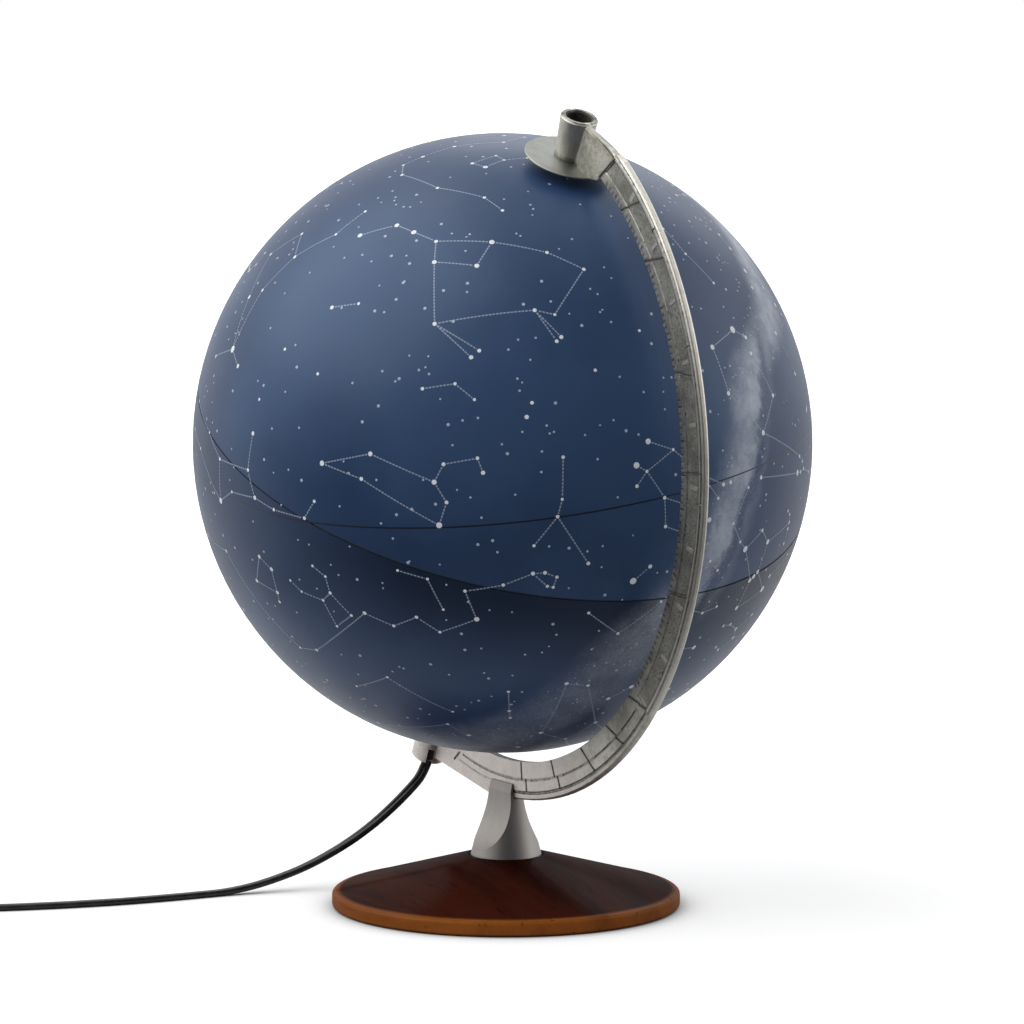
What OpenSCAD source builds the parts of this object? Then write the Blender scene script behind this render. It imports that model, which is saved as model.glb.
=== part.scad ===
// Illuminated celestial globe: a hollow star sphere that turns on a tilted axis, held by a cast half
// meridian on a polished neck and a turned wooden base, with its lamp inside and its flat cord.
// The origin is the centre of the base's underside, +Z is up, and the meridian lies in the XZ plane.

/* [Globe] */
// Outer radius of the star sphere
ball_r = 150; // [149:0.5:151]
// Wall of the two moulded hemispheres
shell_t = 1.8; // [1.6:0.1:2]
// Tilt of the polar axis from the vertical, in degrees
tilt = 23.5; // [22:0.5:25]
// Height of the sphere's centre above the table
ball_z = 226.7; // [226:0.1:228]

/* [Meridian] */
// Thickness of the cast arc at its inner strip
arc_t = 3.8; // [3.6:0.1:4.2]
// Radial width of the cast arc
arc_w = 18.6; // [18:0.1:19]
// Radius of the disc under the north end
pole_disc_r = 22; // [20:0.5:24]
// Radius of the open rim of the north tube
tube_rim_r = 9.15; // [8.8:0.05:9.4]
// Radius of the south boss
boss_r = 8.7; // [8.2:0.1:9.2]

/* [Stand] */
// Outer radius of the wooden base
base_r = 84.9; // [80:0.5:90]
// Radius of the neck's foot
foot_r = 17.3; // [16:0.1:18]
// Height of the top of the neck's two tabs
tab_z = 61.3; // [61:0.1:62]

/* [Lamp] */
// Radius of the bulb's glass
bulb_r = 14; // [12:0.5:16]
// Radius of the lampholder's skirt
holder_r = 12.6; // [12:0.2:13.4]

/* [Cord and switch] */
// Width of the flat two-core cord
cord_w = 5.2; // [5:0.1:5.4]
// Thickness of the flat two-core cord
cord_t = 3.2; // [3:0.1:3.4]
// Length of the inline switch
switch_l = 58; // [54:1:62]
// Travel of the switch's rocker, in degrees
rocker_travel = 16; // [10:1:18]

/* [Hidden] */
$fn = 96;
// Centre of the sphere, a little off the neck's axis
ball_x = -3.1;
// Clearances for seated faces, turning faces and a shaft in its bore
seat = 0.05;
running = 0.07;
// Thickness of the hoop's web, which shows in the seam between the hemispheres
web_t = 0.9;

// Places along the polar axis, from the sphere's centre
disc_top = 155.6;
disc_t = 1.2;
hub_top = 153.6;
tube_top = 177.2;
tube_root_r = 7.7;
tube_floor = 160.5;
tube_bore_r = 6.1;
pivot_r = 3;
pole_hole_r = 6;
lamp_tube_r = 5;
lamp_hole_r = 8;
boss_top = -153;
boss_end = -178.5;
boss_recess_r = 6.6;
boss_recess = -167;
grommet_out = -178;
holder_low = -92;
holder_join = -74;
holder_top = -42;

// The arc's own centre lies off the sphere's, so that the sphere sits low in it
arc_x = 4.9;
arc_n = 5.4;
arc_in = ball_r + 7;
arc_out = arc_in + arc_w;
strip_w = 5;
band_t = arc_t - 0.7;
bead_in = arc_out - 4.2;
bead_out = arc_out - 2.5;
arc_flat = 176.2;
// Angle on the arc where the plain face with cells ends and the scale begins
scale_from = -19;
cell_row = arc_in + 8.4;
// Cast marks, each with its angle on the arc and its lean: those between the cells, then those of the scale
cell_marks = [[-84, -34], [-61.5, 0], [-51, 8], [-40, 27], [-30, 32], [-20.5, 30]];
scale_lines = [[3, 17], [23.5, 5], [39.5, -20], [59.5, -26], [70.5, -30], [79.7, -22]];
mark_w = 0.9;
mark_d = 0.4;

// Heights and radii of the stand
pad_t = 1.4;
wood_z = 0.6;
wood_top = 25.6;
foot_z = 22.3;
foot_top = 25.4;
neck_r = 10.1;
lip_r = 19.2;
slot_w = arc_t + 0.5;
tab_t = 1.45;
tab_y = slot_w / 2 + tab_t;
bevel_z = tab_z - 4.5;
scoop_r = 36;
scoop_z = tab_z - 5.3;
bolt_r = 3;

// Bulb, from the foot of its cap to its tip
bulb_foot = -63;
bulb_neck_r = 5.9;
glass_t = 0.6;
glass_mid = -16;

// Pitch of the coil's turns and heights of its two layers, in which the cord stands on edge
coil_pitch = cord_t + 0.55;
coil_rise = cord_w + 0.45;
tie_t = 0.8;
coil_low = tie_t + cord_w / 2;
coil_high = coil_low + coil_rise;
coil_in = 22;
coil_turns = 3.75;
coil_out = coil_in + coil_pitch * coil_turns;
steps = 24;

// Route of the lead from the south boss to the switch, in round numbers
lead = [
    [-74.1, 0, 63.4], [-76.3, -0.6, 58.4], [-77.1, -4, 51.9], [-77.6, -10, 45.9], [-78.5, -18, 38.9],
    [-80, -28, 31], [-82, -39, 23.6], [-84, -51, 17.1], [-86.5, -64, 11.2], [-89, -78, 6.6],
    [-91, -92, 3.4], [-92.5, -106, 1.8], [-93.5, -120, 1.6], [-94.5, -134, 1.6], [-96, -148, 1.6],
    [-98, -162, 1.6], [-101, -176, 1.6], [-104.5, -190, 1.6], [-108.5, -203, 1.6], [-113, -216, 1.6],
    [-118, -229, 1.9], [-123, -242, 3], [-128, -255, 4.6], [-131, -262.8, 5.6], [-133, -268, 6]];
// The switch lies along the end of the lead
switch_dir = [-5, -13, 0] / norm([-5, -13, 0]);
switch_in = lead[len(lead) - 1] + seat * switch_dir;
switch_out = switch_in + (switch_l + seat) * switch_dir;
inlet_z = 6;
// Route of the short link from the switch to the coil
link = [
    switch_out, switch_out + 6 * switch_dir, switch_out + 16 * switch_dir + [0, 0, 0.8],
    switch_out + 26 * switch_dir + [0, 0, 2], switch_out + 34 * switch_dir + [0, 0, coil_high - inlet_z],
    switch_out + 40 * switch_dir + [0, 0, coil_high - inlet_z]];
coil_start = link[len(link) - 1];
// The coil lies to the left of the way in, and its tail leads to the plug beside it
side_dir = [switch_dir.y, -switch_dir.x, 0];
coil_mid = [coil_start.x, coil_start.y, 0] + coil_out * side_dir;
tail_l = 34;
plug_z = 6.85;

// Frame of the polar axis: its local Z runs to the north pole, its local X towards the meridian
module on_axis() {
    translate([ball_x, 0, ball_z]) rotate([0, tilt, 0]) children();
}

// Round bar between two heights, bored through where bore is above 0
module bar(r, low, high, bore = 0, top_r = 0) {
    difference() {
        translate([0, 0, low]) cylinder(r1 = r, r2 = top_r > 0 ? top_r : r, h = high - low);
        if (bore > 0) translate([0, 0, low - 1]) cylinder(r = bore, h = high - low + 2);
    }
}

// Right half of a plane figure, for revolving
module right_half(size) {
    intersection() {
        children();
        translate([0, -size]) square([size, 2 * size]);
    }
}

// One hemisphere's wall above the seam, open at the pole
module hemisphere(hole_r) {
    rotate_extrude() intersection() {
        difference() {
            circle(r = ball_r);
            circle(r = ball_r - shell_t);
        }
        translate([hole_r, web_t / 2]) square([ball_r, ball_r]);
    }
}

module north_hemisphere() {
    color("#1f3355") on_axis() hemisphere(pole_hole_r);
}

module south_hemisphere() {
    color("#1b2d4c") on_axis() mirror([0, 0, 1]) hemisphere(lamp_hole_r);
}

// T-section ring that joins the two rims from inside, its web showing in the seam
module equator_hoop() {
    web_in = ball_r - shell_t - 1;
    color("#101418") on_axis() rotate_extrude() union() {
        intersection() {
            difference() {
                circle(r = ball_r - shell_t - seat);
                circle(r = ball_r - shell_t - 2);
            }
            translate([0, -7]) square([ball_r, 14]);
        }
        translate([web_in, -web_t / 2]) square([ball_r - 0.6 - web_in, web_t]);
    }
}

// Flanged bush in the sphere's north hole, running on the pivot screw
module north_bush() {
    color("#d8d4c8") on_axis() difference() {
        union() {
            bar(9, ball_r - 0.1, hub_top);
            bar(pole_hole_r - seat, ball_r - 9, ball_r - 0.1);
            bar(9, ball_r - 4, ball_r - shell_t - 0.3);
        }
        translate([0, 0, ball_r - 10]) cylinder(r = pivot_r + running, h = 15);
    }
}

// Flanged collar in the sphere's south hole, running on the lamp tube
module south_collar() {
    outer = ball_r + 2;
    color("#d8d4c8") on_axis() mirror([0, 0, 1]) difference() {
        union() {
            bar(11, ball_r - 0.15, outer);
            bar(lamp_hole_r - seat, ball_r - 12, ball_r - 0.15);
            bar(11, ball_r - 4, ball_r - shell_t - 0.45);
        }
        translate([0, 0, ball_r - 13]) cylinder(r = lamp_tube_r + running, h = 17);
    }
}

// Slip washer that carries the sphere's weight on the south boss
module thrust_washer() {
    color("#e8e4da") on_axis() bar(8.4, boss_top, boss_top + 0.8, lamp_tube_r + seat);
}

// Slotted screw down inside the north tube: its plain end is the upper pivot
module pivot_screw() {
    head = tube_floor + 3;
    color("#b9bcc0") on_axis() difference() {
        union() {
            bar(5, tube_floor, head);
            bar(pivot_r, ball_r - 12, tube_floor);
            bar(pivot_r - 0.8, ball_r - 13.5, ball_r - 12, top_r = pivot_r);
        }
        translate([-6, -0.7, head - 1.3]) cube([12, 1.4, 2]);
    }
}

// Thin disc between the sphere and the north end of the meridian
module pole_disc() {
    edge = 0.4;
    color("#8d8d86") on_axis() difference() {
        rotate_extrude() polygon([
            [0, disc_top - disc_t], [pole_disc_r - edge, disc_top - disc_t],
            [pole_disc_r, disc_top - disc_t + edge], [pole_disc_r, disc_top - edge],
            [pole_disc_r - edge, disc_top], [0, disc_top]]);
        translate([0, 0, disc_top - 3]) cylinder(r = pivot_r + 0.1, h = 6);
    }
}

// Cross-section of the arc before its grooves: a flat bar with a rounded outer edge
module arc_section() {
    half = arc_t / 2;
    polygon([
        [arc_in, -half], [arc_out - 0.9, -half], [arc_out - 0.25, 0.5 - half], [arc_out, 1.2 - half],
        [arc_out, half - 1.2], [arc_out - 0.25, half - 0.5], [arc_out - 0.9, half], [arc_in, half]]);
}

// A band of the arc between two angles from its own equator, revolved in the XZ plane
module arc_band(from, to) {
    translate([arc_x, 0, arc_n]) rotate([90, 0, 0]) rotate([0, 0, from]) rotate_extrude(angle = to - from)
        children();
}

// Groove with sloping flanks in both side faces, between two radii and two angles
module face_groove(r_in, r_out, depth, from, to) {
    half = arc_t / 2;
    arc_band(from, to) for (s = [-1, 1]) polygon([
        [r_in, s * (half + 1)], [r_in, s * half], [r_in + depth, s * (half - depth)],
        [r_out - depth, s * (half - depth)], [r_out, s * half], [r_out, s * (half + 1)]]);
}

// Arc with its running grooves: one under the rim below, the sunk band and the one by the bead above
module grooved_arc() {
    difference() {
        arc_band(-90, 90) arc_section();
        face_groove(bead_in - 0.1, bead_in + 1.3, 0.45, -70, scale_from);
        face_groove(arc_in + strip_w, bead_in, (arc_t - band_t) / 2, scale_from, 91);
        face_groove(bead_out, bead_out + 1.4, 0.5, scale_from, 91);
    }
}

// Frame on the arc at one angle and radius: local X outwards, local Z up along the arc
module on_arc(at, r) {
    translate([arc_x, 0, arc_n]) rotate([0, -at, 0]) translate([r, 0, 0]) children();
}

// Straight groove in both side faces of thickness face_t, leaning from the radius
module arc_mark(at, lean, r, length, face_t) {
    for (s = [-1, 1]) on_arc(at, r) translate([0, s * (face_t / 2 - mark_d + 1), 0]) rotate([0, -lean, 0])
        cube([length, 2, mark_w], center = true);
}

// All the grooves of the casting: staggered joints of the two rows of cells, and the lines of the scale
module cast_marks() {
    for (m = cell_marks) {
        arc_mark(m[0], m[1], arc_in + 4, 9.6, arc_t);
        arc_mark(m[0] + 1.3, m[1], cell_row + 3.2, 6.6, arc_t);
    }
    for (i = [0 : len(cell_marks) - 2], s = [-1, 1])
        arc_band(cell_marks[i][0] + 3, cell_marks[i + 1][0] - 1)
            translate([cell_row, s * (arc_t / 2 - mark_d + 1) - 1]) square([mark_w, 2]);
    for (m = scale_lines) arc_mark(m[0], m[1], arc_in + 7.5, 17, band_t);
    for (at = [19, 43.5, 63.5]) arc_mark(at, 0, bead_in + 0.8, 4.4, band_t);
}

// Raised bars of the scale, one each 10 degrees
module index_bars() {
    for (at = [-8.7 : 10 : 62]) on_arc(at, arc_in + 11.4) cube([6.4, arc_t - 0.1, 1.7], center = true);
}

// Flat plate in the arc's plane, its outline given in the frame of the polar axis
module side_plate(outline, thick) {
    rotate([90, 0, 0]) translate([0, 0, -thick / 2]) linear_extrude(thick) polygon(outline);
}

// Outlines of the web between the arc and the north tube, and of the heel between the boss and the neck
web_outline = [
    [0, disc_top], [pole_disc_r, disc_top], [29, 158], [38.8, 172.8], [25, 174.9], [0, arc_flat]];
heel_outline = [[8, -174.2], [61, -162.1], [59.2, -157.5], [8, -165]];

// Half meridian, cast in one piece with the north tube and the south boss
module meridian() {
    rim_at = tube_top - 1;
    color("#8a8a80") on_axis() difference() {
        union() {
            difference() {
                union() {
                    grooved_arc();
                    index_bars();
                    side_plate(web_outline, arc_t + 0.4);
                    side_plate(heel_outline, arc_t + 0.2);
                }
                cast_marks();
                translate([-20, -10, arc_flat]) cube([80, 20, 20]);
                translate([0, 0, boss_top]) cylinder(r = 11, h = 12);
            }
            bar(tube_root_r, disc_top, rim_at, top_r = tube_rim_r);
            bar(tube_rim_r, rim_at, tube_top, top_r = tube_rim_r - 0.8);
            bar(boss_r, boss_end + 1, boss_top);
            bar(boss_r - 1, boss_end, boss_end + 1, top_r = boss_r);
        }
        translate([0, 0, tube_floor]) cylinder(r = tube_bore_r, h = 30);
        translate([0, 0, tube_top - 0.9]) cylinder(r1 = tube_bore_r, r2 = tube_bore_r + 1, h = 1);
        translate([0, 0, disc_top - 1]) cylinder(r = pivot_r + 0.1, h = 20);
        translate([0, 0, boss_end - 1]) cylinder(r = boss_recess_r, h = boss_recess - boss_end + 1);
        translate([0, 0, boss_recess - 1]) cylinder(r = lamp_tube_r + seat, h = 16);
        rotate([0, 0, -30]) translate([0, -1.6, boss_end - 1]) cube([12, 3.2, 9.5]);
        translate(pin_at) rotate([90, 0, 0]) cylinder(r = 1.7, h = 20, center = true);
    }
}

// Height of the neck's cross screw, and its place in the arc in the frame of the polar axis
pin_z = tab_z - 4.8;
pin_drop = ball_z - pin_z;
pin_at = [pin_drop * sin(tilt) - ball_x * cos(tilt), 0, -pin_drop * cos(tilt) - ball_x * sin(tilt)];

// Radius of the neck's concave cone at height z
function neck_at(z) =
    let (s = (z - foot_top) / (tab_z - foot_top))
    neck_r + (foot_r - neck_r) * (1 - s) * (1 - 0.35 * s);

// Polished neck: a slightly concave cone, scooped on two sides down to two tabs, with a slot for the arc
module neck() {
    rings = 9;
    rise = tab_z - foot_top;
    profile = [for (i = [0 : rings]) let (z = foot_top + rise * i / rings) [neck_at(z), z]];
    color("#a9a7a2") difference() {
        rotate_extrude() polygon(concat(
            [[0, foot_z], [foot_r - 0.4, foot_z], [foot_r, foot_z + 0.4]], profile, [[0, tab_z]]));
        for (s = [-1, 1]) {
            translate([-30, s * (tab_y + 20) - 20, scoop_z]) cube([60, 40, 40]);
            translate([0, s * (tab_y + scoop_r), scoop_z]) rotate([0, 90, 0])
                cylinder(r = scoop_r, h = 60, center = true);
        }
        translate([-15, 0, 0]) rotate([90, 0, 90]) linear_extrude(30) polygon([
            [-tab_y, bevel_z], [1.15 - tab_y, tab_z], [1.15 - tab_y, tab_z + 1], [-tab_y - 2, tab_z + 1],
            [-tab_y - 2, bevel_z]]);
        on_axis() translate([arc_x, 0, arc_n]) rotate([90, 0, 0])
            cylinder(r = arc_out + seat, h = slot_w, center = true);
        translate([0, 0, foot_z - 1]) cylinder(r = bolt_r + seat, h = 24);
        translate([0, 0, pin_z]) rotate([-90, 0, 0]) cylinder(r = 1.55, h = 20);
        translate([0, 0, pin_z]) rotate([90, 0, 0]) cylinder(r = 1.55, h = 2.9);
        translate([0, tab_y - 1.45, pin_z]) rotate([-90, 0, 0]) cylinder(r1 = 1.55, r2 = 3.05, h = 1.5);
    }
}

// Countersunk cross screw that pins the arc between the neck's tabs, entered from the back
module neck_screw() {
    color("#b9bcc0") translate([0, 0, pin_z]) difference() {
        union() {
            translate([0, tab_y - 1.5, 0]) rotate([-90, 0, 0]) cylinder(r1 = 1.5, r2 = 3, h = 1.5);
            translate([0, -2.8, 0]) rotate([-90, 0, 0]) cylinder(r = 1.5, h = tab_y + 1.3);
        }
        translate([-3, tab_y - 0.7, -0.3]) cube([6, 2, 0.6]);
        translate([-0.3, tab_y - 0.7, -3]) cube([0.6, 2, 6]);
    }
}

// Turned wooden base: a low cone with a rounded rim, a socket for the neck and a bolt hole below
module wood_base() {
    corner = 1.2;
    shoulder = 2.6;
    shoulder_z = 5.9;
    slope = 0.28;
    edge_r = base_r - shoulder;
    edge_z = wood_top - slope * (edge_r - lip_r);
    under = [for (a = [-90 : 15 : 0])
        [base_r - corner + corner * cos(a), wood_z + corner + corner * sin(a)]];
    round_edge = [for (a = [0 : 15 : 75])
        [edge_r + shoulder * cos(a), shoulder_z + (edge_z - shoulder_z) * sin(a)]];
    color("#4a1c12") difference() {
        rotate_extrude() polygon(concat(
            [[0, wood_z]], under, round_edge,
            [[edge_r, edge_z], [lip_r, wood_top], [lip_r - 0.6, wood_top - 0.1],
             [foot_r + 0.6, wood_top - 1], [foot_r + 0.6, foot_z], [0, foot_z]]));
        translate([0, 0, -1]) cylinder(r = base_r - 2.6, h = pad_t + 1);
        translate([0, 0, -1]) cylinder(r = bolt_r + 0.4, h = 40);
        translate([0, 0, -1]) cylinder(r = 13, h = 11);
    }
}

// Felt pad let into the underside, standing a little proud of the wood
module felt_pad() {
    color("#26382c") cylinder(r = base_r - 2.9, h = pad_t);
}

module base_washer() {
    color("#b9bcc0") bar(10, 8.5, 10, bolt_r + 0.3);
}

// Socket-head bolt from below that draws the neck down into the base
module base_bolt() {
    head = 8.5;
    color("#b9bcc0") difference() {
        union() {
            bar(5, head - 5, head);
            bar(bolt_r, head, 44);
        }
        translate([0, 0, head - 6]) cylinder(r = 2.9, h = 4, $fn = 6);
    }
}

// Threaded tube that carries the lampholder up into the sphere
module lamp_tube() {
    color("#c8b36a") on_axis() bar(lamp_tube_r, boss_recess - 4, holder_low + 4, lamp_tube_r - 1);
}

// Two nuts on the tube: a slotted round one in the boss and a hexagon one under the lampholder
module tube_nuts() {
    thick = 3.5;
    round_low = boss_recess - seat - thick;
    hex_low = holder_low - seat - thick;
    color("#c8b36a") on_axis() difference() {
        union() {
            bar(boss_recess_r - 0.2, round_low, round_low + thick);
            translate([0, 0, hex_low]) cylinder(r = 8, h = thick, $fn = 6);
        }
        translate([0, 0, round_low - 1]) cylinder(r = lamp_tube_r + 0.02, h = hex_low - round_low + 9);
        translate([-10, -0.6, round_low - 1]) cube([20, 1.2, 2.2]);
    }
}

// Moulded grommet that closes the boss round the cord
module cord_grommet() {
    color("#141414") on_axis() union() {
        bar(boss_recess_r - seat, grommet_out + 1, boss_recess - 4.1);
        bar(boss_recess_r - 1, grommet_out, grommet_out + 1, top_r = boss_recess_r - seat);
    }
}

// The cord's two cores, stripped inside the tube and led up to the terminals
module core_wires() {
    core_r = 0.9;
    color("#3c6fa8") on_axis() for (s = [-1, 1])
        translate([0, s * 2, boss_recess - 4]) cylinder(r = core_r, h = holder_join - 6 - boss_recess + 4);
}

// Domed lower half of the lampholder, screwed on the tube
module holder_cap() {
    wall = 1.5;
    color("#e9e6dd") on_axis() rotate_extrude() polygon([
        [lamp_tube_r + 0.03, holder_low], [7, holder_low], [9.4, holder_low + 1.4], [11.6, holder_low + 5],
        [holder_r, holder_low + 9], [holder_r, holder_join], [holder_r - wall, holder_join],
        [holder_r - wall, holder_low + 9.6], [10.2, holder_low + 6.2], [8.4, holder_low + 3.4],
        [6.6, holder_low + 2.4], [lamp_tube_r + 0.03, holder_low + 2.4]]);
}

// Distance of each terminal from the axis
terminal_y = 7.4;

// Insulating block with the terminals, across the joint of the holder's two halves
module terminal_block() {
    block_r = holder_r - 1.5 - seat;
    low = holder_join - 6;
    high = holder_join + 7;
    color("#f2f0ea") on_axis() difference() {
        bar(block_r, low, high);
        for (s = [-1, 1]) {
            translate([0, s * terminal_y, high - 4]) cylinder(r = 2.1, h = 5);
            translate([0, s * 2, low - 1]) cylinder(r = 1.1, h = 5);
        }
        translate([-3, -1.5, high - 0.8]) cube([6, 3, 2]);
    }
}

// The two terminal screws, sunk in the block
module terminal_screws() {
    high = holder_join + 7;
    color("#c8b36a") on_axis() for (s = [-1, 1]) translate([0, s * terminal_y, 0]) difference() {
        bar(2, high - 4, high - 1);
        translate([-3, -0.25, high - 1.6]) cube([6, 0.5, 2]);
    }
}

// Ribbed upper half of the lampholder, round the bulb's cap
module holder_skirt() {
    wall = 1.5;
    ribs = 24;
    color("#e9e6dd") on_axis() union() {
        bar(holder_r, holder_join, holder_top, holder_r - wall);
        for (i = [0 : ribs - 1]) rotate([0, 0, i * 360 / ribs])
            translate([holder_r - 0.4, -0.5, holder_join + 2]) cube([0.9, 1, 16]);
    }
}

// Plain sleeve that takes the bulb's cap
module contact_sleeve() {
    color("#c8b36a") on_axis() bar(7.7, holder_join + 7, holder_join + 24, 7.2);
}

// Sprung tongue under the bulb's tip
module centre_contact() {
    foot = holder_join + 6.2;
    color("#c8b36a") on_axis() union() {
        translate([-2.9, -1.4, foot]) cube([5.8, 2.8, 0.5]);
        translate([-2.9, -1.4, foot]) cube([0.5, 2.8, 2.6]);
        translate([-2.9, -1.4, foot + 2.1]) cube([5.2, 2.8, 0.5]);
    }
}

// Metal cap of the bulb, open to the glass above and to its contact below
module bulb_cap() {
    cap_r = 6.9;
    top = bulb_foot + 17;
    color("#b9bcc0") on_axis() rotate_extrude() polygon([
        [2.6, bulb_foot], [4.4, bulb_foot + 0.6], [cap_r - 0.3, bulb_foot + 3], [cap_r, bulb_foot + 4],
        [cap_r, top], [cap_r - 0.5, top], [cap_r - 0.5, bulb_foot + 4.2], [4.1, bulb_foot + 1.4],
        [2.6, bulb_foot + 0.9]]);
}

// Glass bead and solder tip in the bottom of the cap
module bulb_contact() {
    color("#3a3f45") on_axis() union() {
        bar(2.5, bulb_foot + 0.1, bulb_foot + 1.6);
        bar(1.6, bulb_foot - 0.9, bulb_foot + 0.1);
    }
}

// Outline of the bulb's glass, grown or shrunk by inset
module glass_outline(inset) {
    r = bulb_r - inset;
    union() {
        translate([0, glass_mid]) circle(r = r);
        polygon([
            [-bulb_neck_r + inset, bulb_foot + 6], [bulb_neck_r - inset, bulb_foot + 6],
            [bulb_neck_r - inset, bulb_foot + 18], [r * 0.92, glass_mid - r * 0.392],
            [-r * 0.92, glass_mid - r * 0.392], [-bulb_neck_r + inset, bulb_foot + 18]]);
    }
}

module bulb_glass() {
    color("#dfe8ee") on_axis() rotate_extrude() right_half(200) difference() {
        glass_outline(0);
        glass_outline(glass_t);
    }
}

// Flared glass mount inside the neck of the bulb
module bulb_stem() {
    color("#dfe8ee") on_axis() union() {
        bar(bulb_neck_r - glass_t - seat, bulb_foot + 6.8, bulb_foot + 8, top_r = 3);
        bar(2.2, bulb_foot + 8, bulb_foot + 24, top_r = 1.4);
        bar(2, bulb_foot + 24, bulb_foot + 26);
    }
}

// Two wires that lead the current up to the filament
module lead_wires() {
    color("#b9bcc0") on_axis() for (s = [-1, 1])
        translate([0, s * 1.2, bulb_foot + 26.15]) rotate([s * -22, 0, 0]) cylinder(r = 0.3, h = 16);
}

// Filament, a thin bow between the ends of the wires
module filament() {
    wire = 0.22;
    bow = 7.6;
    high = bulb_foot + 26 + 16 * cos(22) + 0.35;
    color("#70757a") on_axis() translate([0, 0, high]) rotate([90, 0, 90])
        rotate_extrude(angle = 180) translate([bow, 0]) circle(r = wire);
}

// Unit vector along v
function unit(v) = v / norm(v);

// Direction of a route at its point i
function heading(path, i) =
    unit(path[min(i + 1, len(path) - 1)] - path[max(i - 1, 0)]);

// Ring round p, across the direction t, with its wide side along w
function ring(p, t, w, outline) =
    let (across = unit(w - (w * t) * t), thick = cross(t, across))
    [for (q = outline) p + q.x * across + q.y * thick];

// Outlines of the flat cord, wide side along x
long_outline = [
    [cord_w / 2, 0.6], [cord_w / 2 - 1, cord_t / 2], [1 - cord_w / 2, cord_t / 2], [-cord_w / 2, 0.6],
    [-cord_w / 2, -0.6], [1 - cord_w / 2, -cord_t / 2], [cord_w / 2 - 1, -cord_t / 2], [cord_w / 2, -0.6]];
coil_outline = [
    [cord_w / 2, 0], [cord_w / 2 - 1.2, cord_t / 2], [1.2 - cord_w / 2, cord_t / 2],
    [-cord_w / 2, 0], [1.2 - cord_w / 2, -cord_t / 2], [cord_w / 2 - 1.2, -cord_t / 2]];

// One closed tube through a list of rings, its faces all triangles
module tube(rings) {
    n = len(rings[0]);
    last = len(rings) - 1;
    sides = [for (i = [0 : last - 1], j = [0 : n - 1])
        let (a = i * n + j, b = i * n + (j + 1) % n)
        each [[a, a + n, b], [b, a + n, b + n]]];
    ends = [for (j = [1 : n - 2]) each [[0, j, j + 1], [last * n, last * n + j + 1, last * n + j]]];
    polyhedron(points = [for (r = rings) each r], faces = concat(sides, ends));
}

// Lead from the boss to the switch: the flat cord leaves wide side on and settles flat on the table
module cord_lead() {
    last = len(lead) - 1;
    start_dir = [-sin(tilt), 0, -cos(tilt)];
    color("#141414") tube([for (i = [0 : last])
        let (t = i == 0 ? start_dir : i == last ? switch_dir : heading(lead, i))
        let (turn = min(1, i / 10))
        ring(lead[i], t, (1 - turn) * [0.5, 0.85, 0] + turn * cross(t, [0, 0, -1]), long_outline)]);
}

// Link from the switch to the coil, in which the cord turns from lying flat to standing on edge
module cord_link() {
    last = len(link) - 1;
    color("#141414") tube([for (i = [0 : last])
        let (t = i == 0 || i >= last - 1 ? switch_dir : heading(link, i), turn = 90 * i / last)
        ring(link[i], t, cos(turn) * side_dir + sin(turn) * [0, 0, 1], coil_outline)]);
}

// Smooth step from 0 to 1
function ease(x) = let (s = min(1, max(0, x))) s * s * (3 - 2 * s);

// The coil's turns: in on the upper layer, down a layer in the half turn where it reverses, out below,
// and up again along the tail to the plug's height
total_turns = 2 * coil_turns;
function coil_radius(u) = coil_in + coil_pitch * abs(u - coil_turns);
function coil_height(u) = coil_high - coil_rise * ease(2 * (u - coil_turns) + 0.5);
function coil_point(u) =
    let (a = 360 * u)
    coil_mid - coil_radius(u) * (cos(a) * side_dir - sin(a) * switch_dir) + [0, 0, coil_height(u)];
turns_path = [for (i = [0 : steps * total_turns]) coil_point(i / steps)];
tail_start = coil_point(total_turns);
tail_dir = unit(coil_point(total_turns + 0.01) - coil_point(total_turns - 0.01));
tail_path = [for (i = [1 : 6])
    tail_start + tail_l * i / 6 * tail_dir + [0, 0, (plug_z - coil_low) * ease(i / 5)]];
coil_path = concat(turns_path, tail_path);
coil_rings = [for (i = [0 : len(coil_path) - 1])
    let (t = i == 0 ? switch_dir : i >= len(coil_path) - 2 ? tail_dir : heading(coil_path, i))
    let (turn = 90 * ease((i - len(turns_path)) / 5))
    ring(coil_path[i], t, cos(turn) * [0, 0, 1] + sin(turn) * cross(tail_dir, [0, 0, 1]), coil_outline)];

// Least distance between the points of turns that lie next to each other
function coil_gap() =
    let (n = len(coil_rings))
    min([for (i = [0 : n - 1], k = [1 : total_turns], j = [i + k * steps - 2 : i + k * steps + 2])
        if (j < n) for (a = coil_rings[i], b = coil_rings[j]) norm(a - b)]);

module cord_coil() {
    echo("least gap of the coil to itself, mm", coil_gap());
    color("#141414") tube(coil_rings);
}

// Band round the coil's bundle, on the side away from the switch
module coil_tie() {
    width = 6;
    room = 0.3;
    inner = coil_in - cord_t / 2 - room;
    outer = coil_out + cord_t / 2 + room;
    high = coil_high + cord_w / 2 + room;
    turn = atan2(side_dir.y, side_dir.x);
    color("#2a2a2a") translate([coil_mid.x, coil_mid.y, 0]) rotate([0, 0, turn]) difference() {
        translate([inner - tie_t, -width / 2, 0]) cube([outer - inner + 2 * tie_t, width, high + tie_t]);
        translate([inner, -width, tie_t - room / 2])
            cube([outer - inner, 2 * width, high - tie_t + room / 2]);
    }
}

// Frame of the switch: local X along the cord from its inlet
module at_switch() {
    translate([switch_in.x, switch_in.y, 0]) rotate([0, 0, atan2(switch_dir.y, switch_dir.x)]) children();
}

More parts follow.
